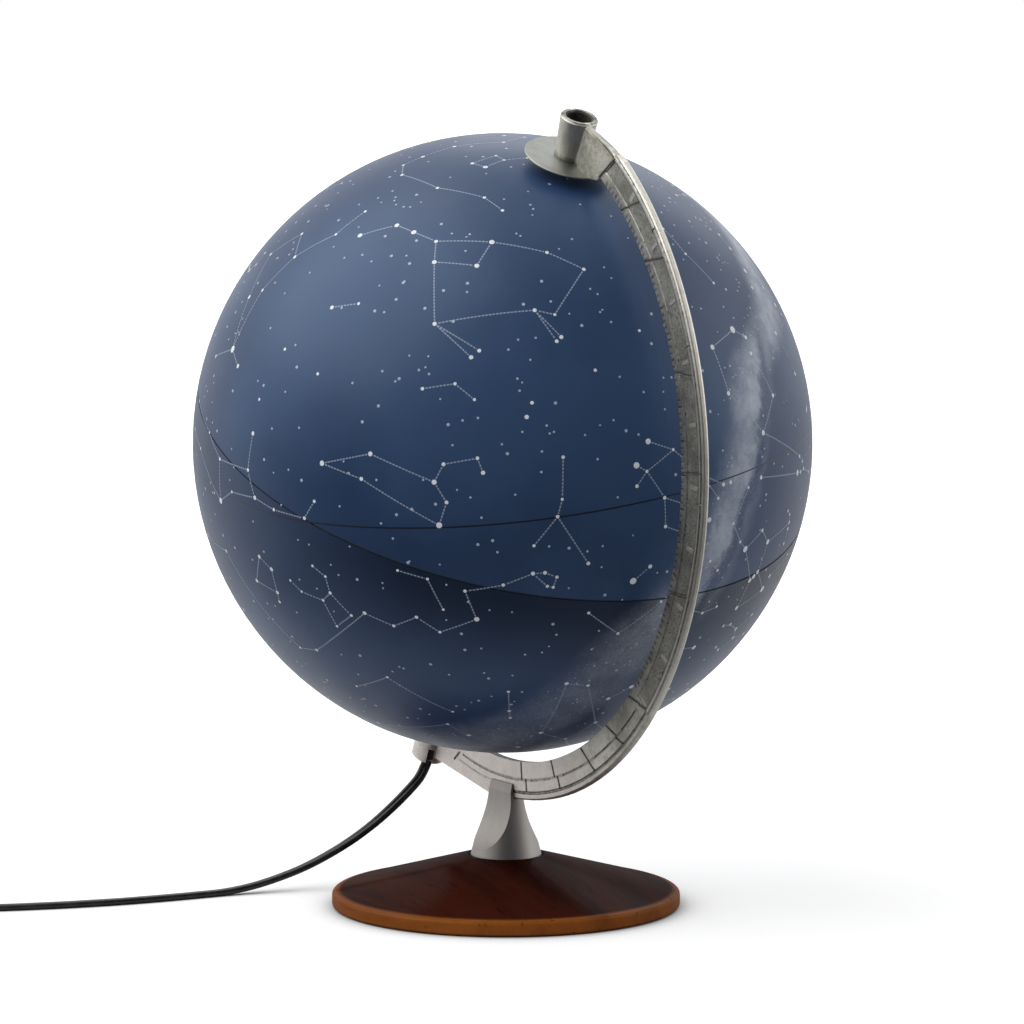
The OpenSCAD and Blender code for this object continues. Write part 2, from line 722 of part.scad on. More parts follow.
// Waisted outline of the switch, narrower at the cord's ends, grown by extra
module switch_outline(extra = 0) {
    half = 12 + extra;
    end = 6.5 + extra;
    neck_l = 9;
    union() {
        polygon([
            [-extra, -end + 2], [2 - extra, -end], [neck_l, -half + 1.5], [neck_l + 4, -half],
            [switch_l - neck_l - 4, -half], [switch_l - neck_l, -half + 1.5], [switch_l - 2 + extra, -end],
            [switch_l + extra, -end + 2], [switch_l + extra, end - 2], [switch_l - 2 + extra, end],
            [switch_l - neck_l, half - 1.5], [switch_l - neck_l - 4, half], [neck_l + 4, half],
            [neck_l, half - 1.5], [2 - extra, end], [-extra, end - 2]]);
    }
}

split_z = inlet_z + 1.4;
cover_z = 15;
rocker_x = switch_l / 2;
rocker_z = 10.5;
rocker_r = 10;
rocker_half = 5.4;
// Screw posts, one at each end and on opposite sides
posts = [[13, -7.5], [switch_l - 13, 7.5]];

// Lower shell of the inline switch, a tray with two screw posts
module switch_base() {
    wall = 1.6;
    color("#1a1a1a") at_switch() difference() {
        union() {
            difference() {
                linear_extrude(split_z) switch_outline();
                translate([0, 0, wall]) linear_extrude(split_z) switch_outline(-wall);
            }
            for (p = posts) translate(p) cylinder(r = 2.6, h = split_z);
        }
        for (p = posts) translate([p.x, p.y, -1]) {
            cylinder(r = 1.2, h = 20);
            cylinder(r = 2, h = 3);
        }
    }
}

// Upper shell with the rocker's opening
module switch_cover() {
    wall = 1.6;
    color("#1a1a1a") at_switch() difference() {
        union() {
            difference() {
                translate([0, 0, split_z]) linear_extrude(cover_z - split_z - 1) switch_outline();
                translate([0, 0, split_z - 1]) linear_extrude(cover_z - split_z - 0.8)
                    switch_outline(-wall);
            }
            translate([0, 0, cover_z - 1]) linear_extrude(1) switch_outline(-0.7);
            for (s = [-1, 1]) translate([rocker_x - 2.5, s * (rocker_half + 1.45) - 0.75, split_z])
                cube([5, 1.5, cover_z - split_z - 1]);
        }
        translate([rocker_x - rocker_r - 0.7, -rocker_half - 0.4, cover_z - 4])
            cube([2 * rocker_r + 1.4, 2 * rocker_half + 0.8, 8]);
        translate([rocker_x, 0, rocker_z]) rotate([90, 0, 0]) cylinder(r = 1.02, h = 20, center = true);
    }
}

// Rocker at rest on its off side, its two faces meeting in a shallow valley
module switch_rocker() {
    lean = rocker_travel / 2;
    color("#2e2e2e") at_switch() translate([rocker_x, 0, rocker_z]) rotate([0, -lean, 0]) difference() {
        intersection() {
            rotate([90, 0, 0]) cylinder(r = rocker_r, h = 2 * rocker_half, center = true);
            translate([-20, -10, -2.4]) cube([40, 20, 9.2]);
        }
        for (s = [-1, 1]) translate([0, 0, 4.4]) rotate([0, s * -9, 0])
            translate([s > 0 ? 0 : -30, -10, 0]) cube([30, 20, 20]);
        rotate([90, 0, 0]) cylinder(r = 1 + running, h = 30, center = true);
    }
}

module rocker_pin() {
    color("#b9bcc0") at_switch() translate([rocker_x, 0, rocker_z]) rotate([90, 0, 0])
        cylinder(r = 1, h = 2 * rocker_half + 4.2, center = true);
}

// Brass contact strips on the tray's floor
module switch_contacts() {
    color("#c8b36a") at_switch() for (s = [-1, 1]) translate([rocker_x + s * 12, 0, 1.6]) union() {
        translate([-5, -2.5, 0]) cube([10, 5, 0.5]);
        translate([-0.25, -2.5, 0]) cube([0.5, 5, 4]);
    }
}

// Two screws that close the switch from below
module switch_screws() {
    color("#b9bcc0") at_switch() for (p = posts)
        translate(p) difference() {
            union() {
                bar(1.9, 0.6, 1.95);
                bar(1.1, 1.95, split_z);
            }
            translate([-2, -0.25, 0]) cube([4, 0.5, 1.1]);
        }
}

// Frame of the plug: local X from the cord's end towards the pins
plug_at = coil_path[len(coil_path) - 1] + seat * tail_dir;
module at_plug() {
    translate(plug_at) rotate([0, 0, atan2(tail_dir.y, tail_dir.x)]) children();
}

relief_l = 20;
plug_l = 36;

// Tapered strain relief moulded to the plug, with three grooves that let it bend
module plug_relief() {
    color("#141414") at_plug() rotate([0, 90, 0]) difference() {
        cylinder(r1 = 3.6, r2 = 5.4, h = relief_l);
        for (x = [5, 9, 13]) translate([0, 0, x]) difference() {
            cylinder(r = 8, h = 1.6);
            translate([0, 0, -1]) cylinder(r = 3.3, h = 4);
        }
    }
}

// Flat two-pin plug body: a tapered outline with a thinner nose edge
module plug_body() {
    nose = 17.5;
    tail = 7;
    half = plug_z;
    color("#141414") at_plug() translate([relief_l, 0, 0]) intersection() {
        translate([0, 0, -half]) linear_extrude(2 * half) polygon([
            [0, -tail + 1.5], [1.5, -tail], [8, -tail - 0.5], [19, -nose + 2], [26, -nose],
            [plug_l - 1, -nose], [plug_l, -nose + 1], [plug_l, nose - 1], [plug_l - 1, nose],
            [26, nose], [19, nose - 2], [8, tail + 0.5], [1.5, tail], [0, tail - 1.5]]);
        rotate([90, 0, 90]) linear_extrude(plug_l + 1) polygon([
            [-nose, -2.5], [-nose + 4.5, -half], [nose - 4.5, -half], [nose, -2.5],
            [nose, 2.5], [nose - 4.5, half], [-nose + 4.5, half], [-nose, 2.5]]);
    }
}

// Two round pins with insulated roots and domed tips
module plug_pins() {
    color("#c9c9c9") at_plug() for (s = [-1, 1])
        translate([relief_l + plug_l, s * 9.3, 0]) rotate([0, 90, 0]) union() {
            cylinder(r = 1.9, h = 10);
            translate([0, 0, 10]) cylinder(r = 2, h = 8);
            translate([0, 0, 18]) cylinder(r1 = 2, r2 = 1, h = 1);
        }
}

wood_base();
felt_pad();
base_bolt();
base_washer();
neck();
neck_screw();
meridian();
pole_disc();
pivot_screw();
north_bush();
north_hemisphere();
equator_hoop();
south_hemisphere();
south_collar();
thrust_washer();
lamp_tube();
tube_nuts();
cord_grommet();
core_wires();
holder_cap();
terminal_block();
terminal_screws();
holder_skirt();
contact_sleeve();
centre_contact();
bulb_cap();
bulb_contact();
bulb_glass();
bulb_stem();
lead_wires();
filament();
cord_lead();
switch_base();
switch_cover();
switch_rocker();
rocker_pin();
switch_contacts();
switch_screws();
cord_link();
cord_coil();
coil_tie();
plug_body();
plug_pins();
plug_relief();
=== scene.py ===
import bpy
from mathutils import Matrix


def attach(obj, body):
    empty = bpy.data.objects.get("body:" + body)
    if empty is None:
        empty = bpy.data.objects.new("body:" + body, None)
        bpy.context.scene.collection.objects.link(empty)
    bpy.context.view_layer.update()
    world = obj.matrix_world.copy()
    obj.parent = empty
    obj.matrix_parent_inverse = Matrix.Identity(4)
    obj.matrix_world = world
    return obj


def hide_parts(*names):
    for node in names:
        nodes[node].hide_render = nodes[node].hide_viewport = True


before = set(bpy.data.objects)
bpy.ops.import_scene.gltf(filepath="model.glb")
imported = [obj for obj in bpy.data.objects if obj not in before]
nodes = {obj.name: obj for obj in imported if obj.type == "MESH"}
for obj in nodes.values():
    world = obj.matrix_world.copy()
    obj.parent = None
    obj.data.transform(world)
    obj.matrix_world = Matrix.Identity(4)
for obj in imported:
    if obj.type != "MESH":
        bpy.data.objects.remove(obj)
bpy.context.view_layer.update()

import math
import random

import bpy
from mathutils import Matrix, Vector

mm = 0.001


def deselectAll():
    if bpy.context.object and bpy.context.object.mode != "OBJECT":
        bpy.ops.object.mode_set(mode="OBJECT")
    bpy.ops.object.select_all(action="DESELECT")


def selectOnly(item):
    deselectAll()
    item.select_set(True)
    bpy.context.view_layer.objects.active = item


def meshFrom(name, points, faces):              # a piece from its own points, for swept and repeated shapes
    mesh = bpy.data.meshes.new(name)
    mesh.from_pydata(points, [], faces)
    mesh.update()
    item = bpy.data.objects.new(name, mesh)
    bpy.context.scene.collection.objects.link(item)
    return item


def dress(item, body, material):
    item.data.materials.clear()
    item.data.materials.append(material)
    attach(item, body)


# the tilted axis that the sphere turns on, and the way square to it in the meridian's plane
axis = {"tilt": 23.5, "middle": (-3.1, 0, 226.7)}

tiltAngle = math.radians(axis["tilt"])
northWay = Vector((math.sin(tiltAngle), 0, math.cos(tiltAngle)))
meridianWay = Vector((math.cos(tiltAngle), 0, -math.sin(tiltAngle)))
ballMiddle = Vector(axis["middle"])
upward = Vector((0, 0, 1))


# camera, from the photograph's own view
view = {"place": (2.71975, -1.63918, 0.60128), "azimuth": 58.87, "down": 7.32, "lens": 232.28, "sensor": 36,
        "farthest": 20}

cameraData = bpy.data.cameras.new("camera")
cameraData.lens = view["lens"]
cameraData.sensor_width = view["sensor"]
cameraData.clip_end = view["farthest"]
camera = bpy.data.objects.new("camera", cameraData)
bpy.context.scene.collection.objects.link(camera)
camera.location = view["place"]
camera.rotation_euler = (math.radians(90 - view["down"]), 0, math.radians(view["azimuth"]))
bpy.context.scene.camera = camera
print("camera set")


# the flat two-core cord: lead to the switch, then link, coil and tail to the plug
cord = {
    "width": 5.2, "thickness": 3.2, "meet": 128.7, "coreSides": 8, "smoothAngle": 60, "finer": 4,
    "startWide": (0.5, 0.85, 0), "turnSteps": 10, "switchWay": (-5, -13, 0), "switchLength": 58, "seat": 0.05,
    "link": [(0, 0), (6, 0), (16, 0.8), (26, 2)], "linkEnd": (34, 40),
    "coilInner": 22, "coilPitch": 3.75, "coilTurns": 3.75, "coilRise": 5.65, "coilLow": 3.4, "coilSteps": 48,
    "tail": 34, "tailSteps": 12, "plugHeight": 6.85, "lead": [
        (-74.1, 0, 63.4), (-76.3, -0.6, 58.4), (-77.1, -4, 51.9), (-77.6, -10, 45.9), (-78.5, -18, 38.9),
        (-80, -28, 31), (-82, -39, 23.6), (-84, -51, 17.1), (-86.5, -64, 11.2), (-89, -78, 6.6),
        (-91, -92, 3.4), (-92.5, -106, 1.8), (-93.5, -120, 1.6), (-94.5, -134, 1.6), (-96, -148, 1.6),
        (-98, -162, 1.6), (-101, -176, 1.6), (-104.5, -190, 1.6), (-108.5, -203, 1.6), (-113, -216, 1.6),
        (-118, -229, 1.9), (-123, -242, 3), (-128, -255, 4.6), (-131, -262.8, 5.6), (-133, -268, 6)]}

leadPoints = [Vector(p) for p in cord["lead"]]
switchWay = Vector(cord["switchWay"]).normalized()
switchIn = leadPoints[-1] + cord["seat"] * switchWay
switchOut = switchIn + (cord["switchLength"] + cord["seat"]) * switchWay
coilHigh = cord["coilLow"] + cord["coilRise"]
sideWay = Vector((switchWay.y, -switchWay.x, 0))


def ease(x):
    x = min(1, max(0, x))
    return x * x * (3 - 2 * x)


def headings(points, first, last):              # unit directions along a route, with its ends held square
    ways = []
    for i in range(len(points)):
        ways.append((points[min(i + 1, len(points) - 1)] - points[max(i - 1, 0)]).normalized())
    ways[0], ways[-1] = first, last
    return ways


def refine(points, wides):                      # rounds a route between its points and turns its wide side
    parts = cord["finer"]
    finePoints, fineWides = [], []
    for i in range(len(points) - 1):
        a, b = points[max(i - 1, 0)], points[i]
        c, d = points[i + 1], points[min(i + 2, len(points) - 1)]
        for k in range(parts):
            t = k / parts
            finePoints.append(0.5 * ((2 * b) + (c - a) * t + (2 * a - 5 * b + 4 * c - d) * t ** 2
                                     + (3 * b - a - 3 * c + d) * t ** 3))
            fineWides.append(wides[i].lerp(wides[i + 1], t))
    return finePoints + [points[-1]], fineWides + [wides[-1]]


def flatTube(name, points, wides, firstWay, lastWay):
    half = cord["thickness"] / 2                # two round cores side by side, with a groove between them
    apart = cord["width"] / 2 - half
    outline = []
    for side in (1, -1):
        for k in range(cord["coreSides"] + 1):
            a = math.radians(cord["meet"] * (2 * k / cord["coreSides"] - 1))
            outline.append((side * (apart + half * math.cos(a)), side * half * math.sin(a)))
    ways = headings(points, firstWay, lastWay)
    vertices, faces = [], []
    for p, way, wide in zip(points, ways, wides):
        across = (wide - wide.dot(way) * way).normalized()
        thick = way.cross(across)
        vertices += [(p + u * across + v * thick) * mm for u, v in outline]
    n = len(outline)
    for i in range(len(points) - 1):
        for j in range(n):
            k = (j + 1) % n
            faces.append((i * n + j, i * n + k, (i + 1) * n + k, (i + 1) * n + j))
    last = (len(points) - 1) * n
    faces.append(tuple(reversed(range(n))))
    faces.append(tuple(last + j for j in range(n)))
    tube = meshFrom(name, vertices, faces)
    lengthMap = tube.data.uv_layers.new(name="along")
    run = [0]
    for i in range(1, len(points)):
        run.append(run[-1] + (points[i] - points[i - 1]).length * mm)
    for face in tube.data.polygons:
        for corner in face.loop_indices:
            vertex = tube.data.loops[corner].vertex_index
            lengthMap.data[corner].uv = (run[vertex // n], (vertex % n) / n)
    selectOnly(tube)
    bpy.ops.object.shade_smooth_by_angle(angle=math.radians(cord["smoothAngle"]))
    return tube, run[-1]


startWay = -northWay
leadWays = headings(leadPoints, startWay, switchWay)
leadWides = []
for i, way in enumerate(leadWays):
    turn = min(1, i / cord["turnSteps"])
    leadWides.append((1 - turn) * Vector(cord["startWide"]) + turn * way.cross(-upward))
leadFine, leadFineWides = refine(leadPoints, leadWides)
leadCord, leadLength = flatTube("leadCord", leadFine, leadFineWides, startWay, switchWay)

linkRise = coilHigh - leadPoints[-1].z
linkRoute = cord["link"] + [(along, linkRise) for along in cord["linkEnd"]]
linkPoints = [switchOut + along * switchWay + upward * rise for along, rise in linkRoute]
linkTurns = [math.radians(90 * i / (len(linkPoints) - 1)) for i in range(len(linkPoints))]
linkWides = [math.cos(turn) * sideWay + math.sin(turn) * upward for turn in linkTurns]
linkFine, linkFineWides = refine(linkPoints, linkWides)

coilOuter = cord["coilInner"] + cord["coilPitch"] * cord["coilTurns"]
coilMiddle = Vector((linkPoints[-1].x, linkPoints[-1].y, 0)) + coilOuter * sideWay


def coilPoint(turns):
    angle = 2 * math.pi * turns
    radius = cord["coilInner"] + cord["coilPitch"] * abs(turns - cord["coilTurns"])
    height = coilHigh - cord["coilRise"] * ease(2 * (turns - cord["coilTurns"]) + 0.5)
    return coilMiddle - radius * (math.cos(angle) * sideWay - math.sin(angle) * switchWay) + upward * height


allTurns = 2 * cord["coilTurns"]
coilPoints = [coilPoint(i / cord["coilSteps"]) for i in range(1, int(cord["coilSteps"] * allTurns) + 1)]
tailWay = (coilPoint(allTurns + 0.01) - coilPoint(allTurns - 0.01)).normalized()
tailPoints, tailWides = [], []
for i in range(1, cord["tailSteps"] + 1):
    lift = (cord["plugHeight"] - cord["coilLow"]) * ease(i / cord["turnSteps"])
    tailPoints.append(coilPoints[-1] + cord["tail"] * i / cord["tailSteps"] * tailWay + upward * lift)
    turn = 0.5 * math.pi * ease(i / cord["turnSteps"])
    tailWides.append(math.cos(turn) * upward + math.sin(turn) * tailWay.cross(upward))
plugCordPoints = linkFine + coilPoints + tailPoints
plugCordWides = linkFineWides + [upward] * len(coilPoints) + tailWides
plugCord, plugCordLength = flatTube("plugCord", plugCordPoints, plugCordWides, switchWay, tailWay)

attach(leadCord, "stand")
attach(plugCord, "stand")
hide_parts("cord_lead")
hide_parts("cord_link", "cord_coil")
[p * mm for p in leadFine]
[p * mm for p in plugCordPoints]
print("cords laid,", round(leadLength, 3), "m and", round(plugCordLength, 3), "m")


# a small kit for materials: sums of sockets are written as plain expressions
class Wire:
    def __init__(self, paint, socket):
        self.paint, self.socket = paint, socket

    def math(self, operation, *others, first=True):
        values = (self, *others) if first else (*others, self)
        return self.paint.add("ShaderNodeMath", {"operation": operation}, dict(enumerate(values)))

    def vector(self, operation, other, out=0):
        return self.paint.add("ShaderNodeVectorMath", {"operation": operation}, {0: self, 1: other}, out)

    def along(self, direction):                 # how far a vector reaches along a direction
        return self.vector("DOT_PRODUCT", tuple(direction), "Value")

    def size(self):
        return self.paint.add("ShaderNodeVectorMath", {"operation": "LENGTH"}, {0: self}, "Value")

    def __add__(self, other):
        return self.math("ADD", other)

    def __sub__(self, other):
        return self.math("SUBTRACT", other)

    def __rsub__(self, other):
        return self.math("SUBTRACT", other, first=False)

    def __mul__(self, other):
        return self.math("MULTIPLY", other)

    def __truediv__(self, other):
        return self.math("DIVIDE", other)

    def __gt__(self, other):
        return self.math("GREATER_THAN", other)

    def __lt__(self, other):
        return self.math("LESS_THAN", other)

    def __abs__(self):
        return self.math("ABSOLUTE")

    __radd__, __rmul__ = __add__, __mul__


class Paint:
    def __init__(self, owner):                  # a new material, or the world
        self.owner = owner
        self.owner.use_nodes = True
        self.tree = self.owner.node_tree
        self.tree.nodes.clear()

    def add(self, kind, settings=None, sockets=None, out=0):
        node = self.tree.nodes.new(kind)
        for key, value in (settings or {}).items():
            setattr(node, key, value)
        for key, value in (sockets or {}).items():
            if isinstance(value, Wire):
                self.tree.links.new(value.socket, node.inputs[key])
            else:
                node.inputs[key].default_value = value
        if node.outputs:
            return Wire(self, node.outputs[out])

    def place(self):
        return self.add("ShaderNodeTexCoord", out="Object")

    def split(self, vector):
        node = self.add("ShaderNodeSeparateXYZ", None, {0: vector}).socket.node
        return [Wire(self, output) for output in node.outputs]

    def noise(self, scale, detail=2, roughness=0.5, stretch=(1, 1, 1), vector=None):
        place = self.add("ShaderNodeMapping", None, {"Vector": vector or self.place(), "Scale": stretch})
        return self.add("ShaderNodeTexNoise", None,
                        {"Vector": place, "Scale": scale, "Detail": detail, "Roughness": roughness})

    def step(self, value, low, high):           # a soft rise from 0 at low to 1 at high
        return self.add("ShaderNodeMapRange", {"interpolation_type": "SMOOTHSTEP"},
                        {"Value": value, "From Min": low, "From Max": high})

    def mix(self, share, a, b):
        a, b = [(*c, 1) if isinstance(c, tuple) and len(c) == 3 else c for c in (a, b)]
        return self.add("ShaderNodeMix", {"data_type": "RGBA"}, {0: share, 6: a, 7: b}, 2)

    def bump(self, height, distance, strength=1, normal=None):
        sockets = {"Height": height, "Distance": distance, "Strength": strength}
        if normal:
            sockets["Normal"] = normal
        return self.add("ShaderNodeBump", None, sockets)

    def finish(self, **sockets):
        named = {key.replace("_", " "): value for key, value in sockets.items()}
        for key, value in named.items():
            if isinstance(value, tuple) and len(value) == 3:
                named[key] = (*value, 1)
        return self.close(self.add("ShaderNodeBsdfPrincipled", None, named, "BSDF"))

    def close(self, shader, output="ShaderNodeOutputMaterial"):
        self.add(output, None, {"Surface": shader})
        return self.owner


def newPaint(name):
    return Paint(bpy.data.materials.new(name))


# finishes
def moulded(name, color, roughness, grain=0.00025, coat=0.0):
    paint = newPaint(name)
    fine = paint.noise(1 / grain, 2, 0.6)
    broad = paint.noise(45, 3, 0.55)
    lighter = tuple(min(1, c * 1.2 + 0.004) for c in color)
    shade = paint.mix(paint.step(broad * 0.75 + fine * 0.25, 0.35, 0.7), color, lighter)
    rough = roughness + (broad - 0.5) * 0.12 + (fine - 0.5) * 0.08
    return paint.finish(Base_Color=shade, Roughness=rough, Coat_Weight=coat, Coat_Roughness=0.15,
                        Normal=paint.bump(fine, grain * 0.06, 0.5))


def metal(name, color, roughness, brush=(1, 1, 1), worn=0.25):
    paint = newPaint(name)
    lines = paint.noise(180, 4, 0.65, stretch=brush)
    patches = paint.noise(60, 3, 0.5)
    darker = tuple(c * (1 - worn) for c in color)
    shade = paint.mix(paint.step(patches * 0.6 + lines * 0.4, 0.3, 0.65), darker, color)
    rough = roughness + (patches - 0.5) * 0.18 + (lines - 0.5) * 0.16
    return paint.finish(Base_Color=shade, Metallic=1.0, Roughness=rough,
                        Normal=paint.bump(lines, 0.00003, 0.5))


def clearGlass(name):
    paint = newPaint(name)
    smear = paint.noise(90, 3, 0.5)
    rough = 0.02 + paint.step(smear, 0.55, 0.8) * 0.06
    tint = paint.mix(paint.step(smear, 0.4, 0.7), (0.95, 0.97, 0.98), (0.90, 0.93, 0.94))
    return paint.finish(Base_Color=tint, Roughness=rough, Transmission_Weight=1.0, IOR=1.47)


def feltPile(name):
    paint = newPaint(name)
    fibres = paint.noise(1600, 4, 0.7)
    felted = paint.noise(120, 3, 0.6)
    pile = paint.step(fibres * 0.7 + felted * 0.3, 0.3, 0.7)
    shade = paint.mix(pile, (0.035, 0.075, 0.045), (0.09, 0.15, 0.10))
    return paint.finish(Base_Color=shade, Roughness=0.95, Sheen_Weight=0.4,
                        Normal=paint.bump(fibres, 0.0002, 0.6))


wood = {"deep": (0.020, 0.0042, 0.0028), "warm": (0.075, 0.016, 0.008), "rim": (0.36, 0.105, 0.016),
        "pores": (0.012, 0.004, 0.003), "rimFrom": 0.0800, "rimTo": 0.0835}


def lacqueredWood(name):
    paint = newPaint(name)
    x, y = paint.split(paint.place())[:2]
    away = paint.step(x * x + y * y, wood["rimFrom"] ** 2, wood["rimTo"] ** 2)
    drift = paint.noise(14, 3, 0.5, stretch=(0.5, 1, 1))
    bands = paint.noise(60, 4, 0.6, stretch=(0.10, 1.0, 0.8))
    pores = paint.noise(420, 2, 0.6, stretch=(0.06, 1.0, 1.0))
    figure = paint.step(bands * 0.65 + drift * 0.35, 0.36, 0.64)
    shade = paint.mix(figure * 0.8, wood["deep"], wood["warm"])
    shade = paint.mix(away * (0.60 + figure * 0.35), shade, wood["rim"])      # thin lacquer on the rim
    shade = paint.mix(paint.step(pores, 0.62, 0.72) * 0.5, shade, wood["pores"])
    rough = 0.36 + (drift - 0.5) * 0.1
    return paint.finish(Base_Color=shade, Roughness=rough, Specular_IOR_Level=0.0,
                        Coat_Weight=0.07 + away * 0.08, Coat_Roughness=0.16,
                        Normal=paint.bump(bands * 0.6 + pores * 0.4, 0.00004, 0.5))


pewter = {"bright": (0.62, 0.60, 0.53), "dull": (0.33, 0.32, 0.275), "patinaAndShade": (0.035, 0.034, 0.030),
          "lower": (0.80, 0.73, 0.70), "lowerFade": (-60, -24), "proud": (0.80, 0.77, 0.70),
          "arcMiddle": (0.003547, 0, 0.229698), "scaleFrom": (-19.6, -18.4), "scaleTo": 79,
          "tubeRadius": 0.0105, "tubeFoot": (0.1551, 0.1558, 0.1585), "boreRadius": 0.0068, "boreFrom": 0.150,
          "tick": 1.15, "ticks": (0.1566, 0.1590), "fifths": (0.1580, 0.1606), "sunk": (0.1620, 0.1714),
          "bars": (0.1652, 0.1716), "barEvery": 10, "barFirst": -8.7, "barHalf": 0.036,
          "beadFrom": (0.1714, 0.1718), "edgeFrom": (0.1747, 0.1752), "flankFrom": 0.0013,
          "scaleGrooves": [(0.1616, 0.1624, 0.6), (0.1708, 0.1717, 1), (0.1731, 0.1745, 1)],
          "beadGroove": (0.1712, 0.1728), "beadFoot": (-70.5, -69.5),
          "lowerGrooves": [(0.1650, 0.1664, -81, -21, 0.8), (0.1693, 0.1701, -82, -63, 0.7)],
          "innerCells": (0.161, 0.1565, 0.1657), "outerCells": (0.1686, 0.1654, 0.1716), "cellShift": 1.3,
          "cells": [(-84, -34), (-61.5, 0), (-51, 8), (-40, 27), (-30, 32), (-20.5, 30)],
          "lineReach": (0.1645, 0.1568, 0.1716), "lineDepth": 0.9,
          "lines": [(3, 17), (23.5, 5), (39.5, -20), (59.5, -26), (70.5, -30), (79.7, -22)]}


def antiquePewter(name):
    paint = newPaint(name)
    place = paint.place()

    def ring(low, high, soft=0.0003):           # 1 between two radii of the arc
        return paint.step(radius, low - soft, low + soft) * (1 - paint.step(radius, high - soft, high + soft))

    def seam(at, lean, middle, low, high):      # 1 along a cast joint that leans across the arc
        slant = math.degrees(math.tan(math.radians(lean)) / middle)
        off = abs((radius - middle) * slant + (at - degrees))
        return (1 - paint.step(off, 0.08, 0.50)) * ring(low, high)

    fromArc = place.vector("SUBTRACT", pewter["arcMiddle"])
    radius = fromArc.vector("MULTIPLY", (1, 0, 1)).size()
    degrees = fromArc.along(northWay).math("ARCTAN2", fromArc.along(meridianWay)) * (180 / math.pi)
    fromBall = place.vector("SUBTRACT", tuple(ballMiddle * mm))
    height = fromBall.along(northWay)
    axial = fromBall.vector("CROSS_PRODUCT", tuple(northWay)).size()
    onTube = axial < pewter["tubeRadius"]
    tubeLow, footLow, footHigh = pewter["tubeFoot"]
    # painted shadow: a dark ring around the tube's foot, where it stands on the disc
    footShadow = (1 - paint.step(height, footLow, footHigh)) * (height > tubeLow) * onTube
    # painted shade inside the tube's bore
    boreShade = (axial < pewter["boreRadius"]) * (height > pewter["boreFrom"])

    upper = paint.step(degrees, *pewter["scaleFrom"]) * (degrees < pewter["scaleTo"])
    beat = abs((degrees / pewter["tick"] + 0.5).math("FRACT") - 0.5)          # 0 at each tick of the scale
    fifth = abs((degrees / (5 * pewter["tick"]) + 0.5).math("FRACT") - 0.5)
    tenth = abs(((degrees - pewter["barFirst"]) / pewter["barEvery"] + 0.5).math("FRACT") - 0.5)
    bars = tenth < pewter["barHalf"]
    flank = abs(paint.split(place)[1]) > pewter["flankFrom"]
    ticks = (beat < 0.17) * ring(*pewter["ticks"], 0.0002) + (fifth < 0.03) * ring(*pewter["fifths"], 0.0002)
    ticks = ticks * upper
    sunk = ring(*pewter["sunk"]) * upper
    edges = sum(ring(low, high) * depth for low, high, depth in pewter["scaleGrooves"]) * upper
    edges = edges + ring(*pewter["beadGroove"]) * (1 - upper) * paint.step(degrees, *pewter["beadFoot"])
    for low, high, first, last, depth in pewter["lowerGrooves"]:
        edges = edges + ring(low, high) * (degrees < last) * (degrees > first) * depth
    for at, lean in pewter["cells"]:
        edges = edges + seam(at, lean, *pewter["innerCells"])
        edges = edges + seam(at + pewter["cellShift"], lean, *pewter["outerCells"])
    for at, lean in pewter["lines"]:
        edges = edges + seam(at, lean, *pewter["lineReach"]) * pewter["lineDepth"]
    bead, edge = paint.step(radius, *pewter["beadFrom"]), paint.step(radius, *pewter["edgeFrom"])
    # painted highlight along the bead and the outer edge of the rim
    rimHighlight = bead * upper * 0.8 + edge * 0.2
    proud = bars * ring(*pewter["bars"]) * upper + rimHighlight + onTube * (height > footHigh) * 0.7
    grain = paint.noise(1100, 4, 0.75)
    pits = paint.noise(380, 4, 0.7)
    clouds = paint.noise(60, 4, 0.6)
    metalAndHighlight = paint.mix(paint.step(clouds * 0.45 + pits * 0.55, 0.40, 0.60), pewter["dull"], pewter["bright"])
    metalAndHighlight = paint.mix((1 - paint.step(degrees, *pewter["lowerFade"])) * 0.65, metalAndHighlight, pewter["lower"])
    metalAndHighlight = paint.mix(proud.math("MINIMUM", 1) * 0.7, metalAndHighlight, pewter["proud"])
    edges = edges * (0.55 + paint.step(pits, 0.35, 0.65) * 0.45)
    speckle = paint.step(grain * 0.5 + pits * 0.5, 0.50, 0.60) * (0.20 + sunk * 0.35) * (1 - bars * 0.6)
    # painted shade in the cast grooves and joints, with the dark scale ticks
    groovesShadeAndTicks = ((edges * 0.70).math("MINIMUM", 0.70) + ticks * 0.5) * flank
    # patina speckle and recessed panel, with the painted shade of the grooves, bore and tube foot
    soiledAndShaded = speckle + groovesShadeAndTicks + footShadow * 0.6 + boreShade * 0.8 + sunk * 0.15
    shade = paint.mix(soiledAndShaded.math("MINIMUM", 0.93), metalAndHighlight, pewter["patinaAndShade"])
    rough = 0.42 + (pits - 0.5) * 0.3 + sunk * 0.10 + boreShade * 0.2
    relief = paint.bump(grain * 0.25 + pits * 0.45 + clouds * 0.3, 0.0006, 0.8)
    return paint.finish(Base_Color=shade, Metallic=0.88, Roughness=rough,
                        Normal=paint.bump(ticks + edges * 0.6, -0.0004, 0.6, normal=relief))


def coreSheath(name):
    paint = newPaint(name)
    fine = paint.noise(2600, 2, 0.6)
    scuffs = paint.noise(130, 4, 0.65)
    shade = paint.mix(paint.step(scuffs, 0.42, 0.72), (0.010, 0.010, 0.011), (0.028, 0.028, 0.030))
    rough = 0.36 + (scuffs - 0.5) * 0.25
    return paint.finish(Base_Color=shade, Roughness=rough, Normal=paint.bump(fine, 0.00002, 0.5))


leadCord.data.materials.append(coreSheath("cord sheath"))
plugCord.data.materials.append(leadCord.data.materials[0])

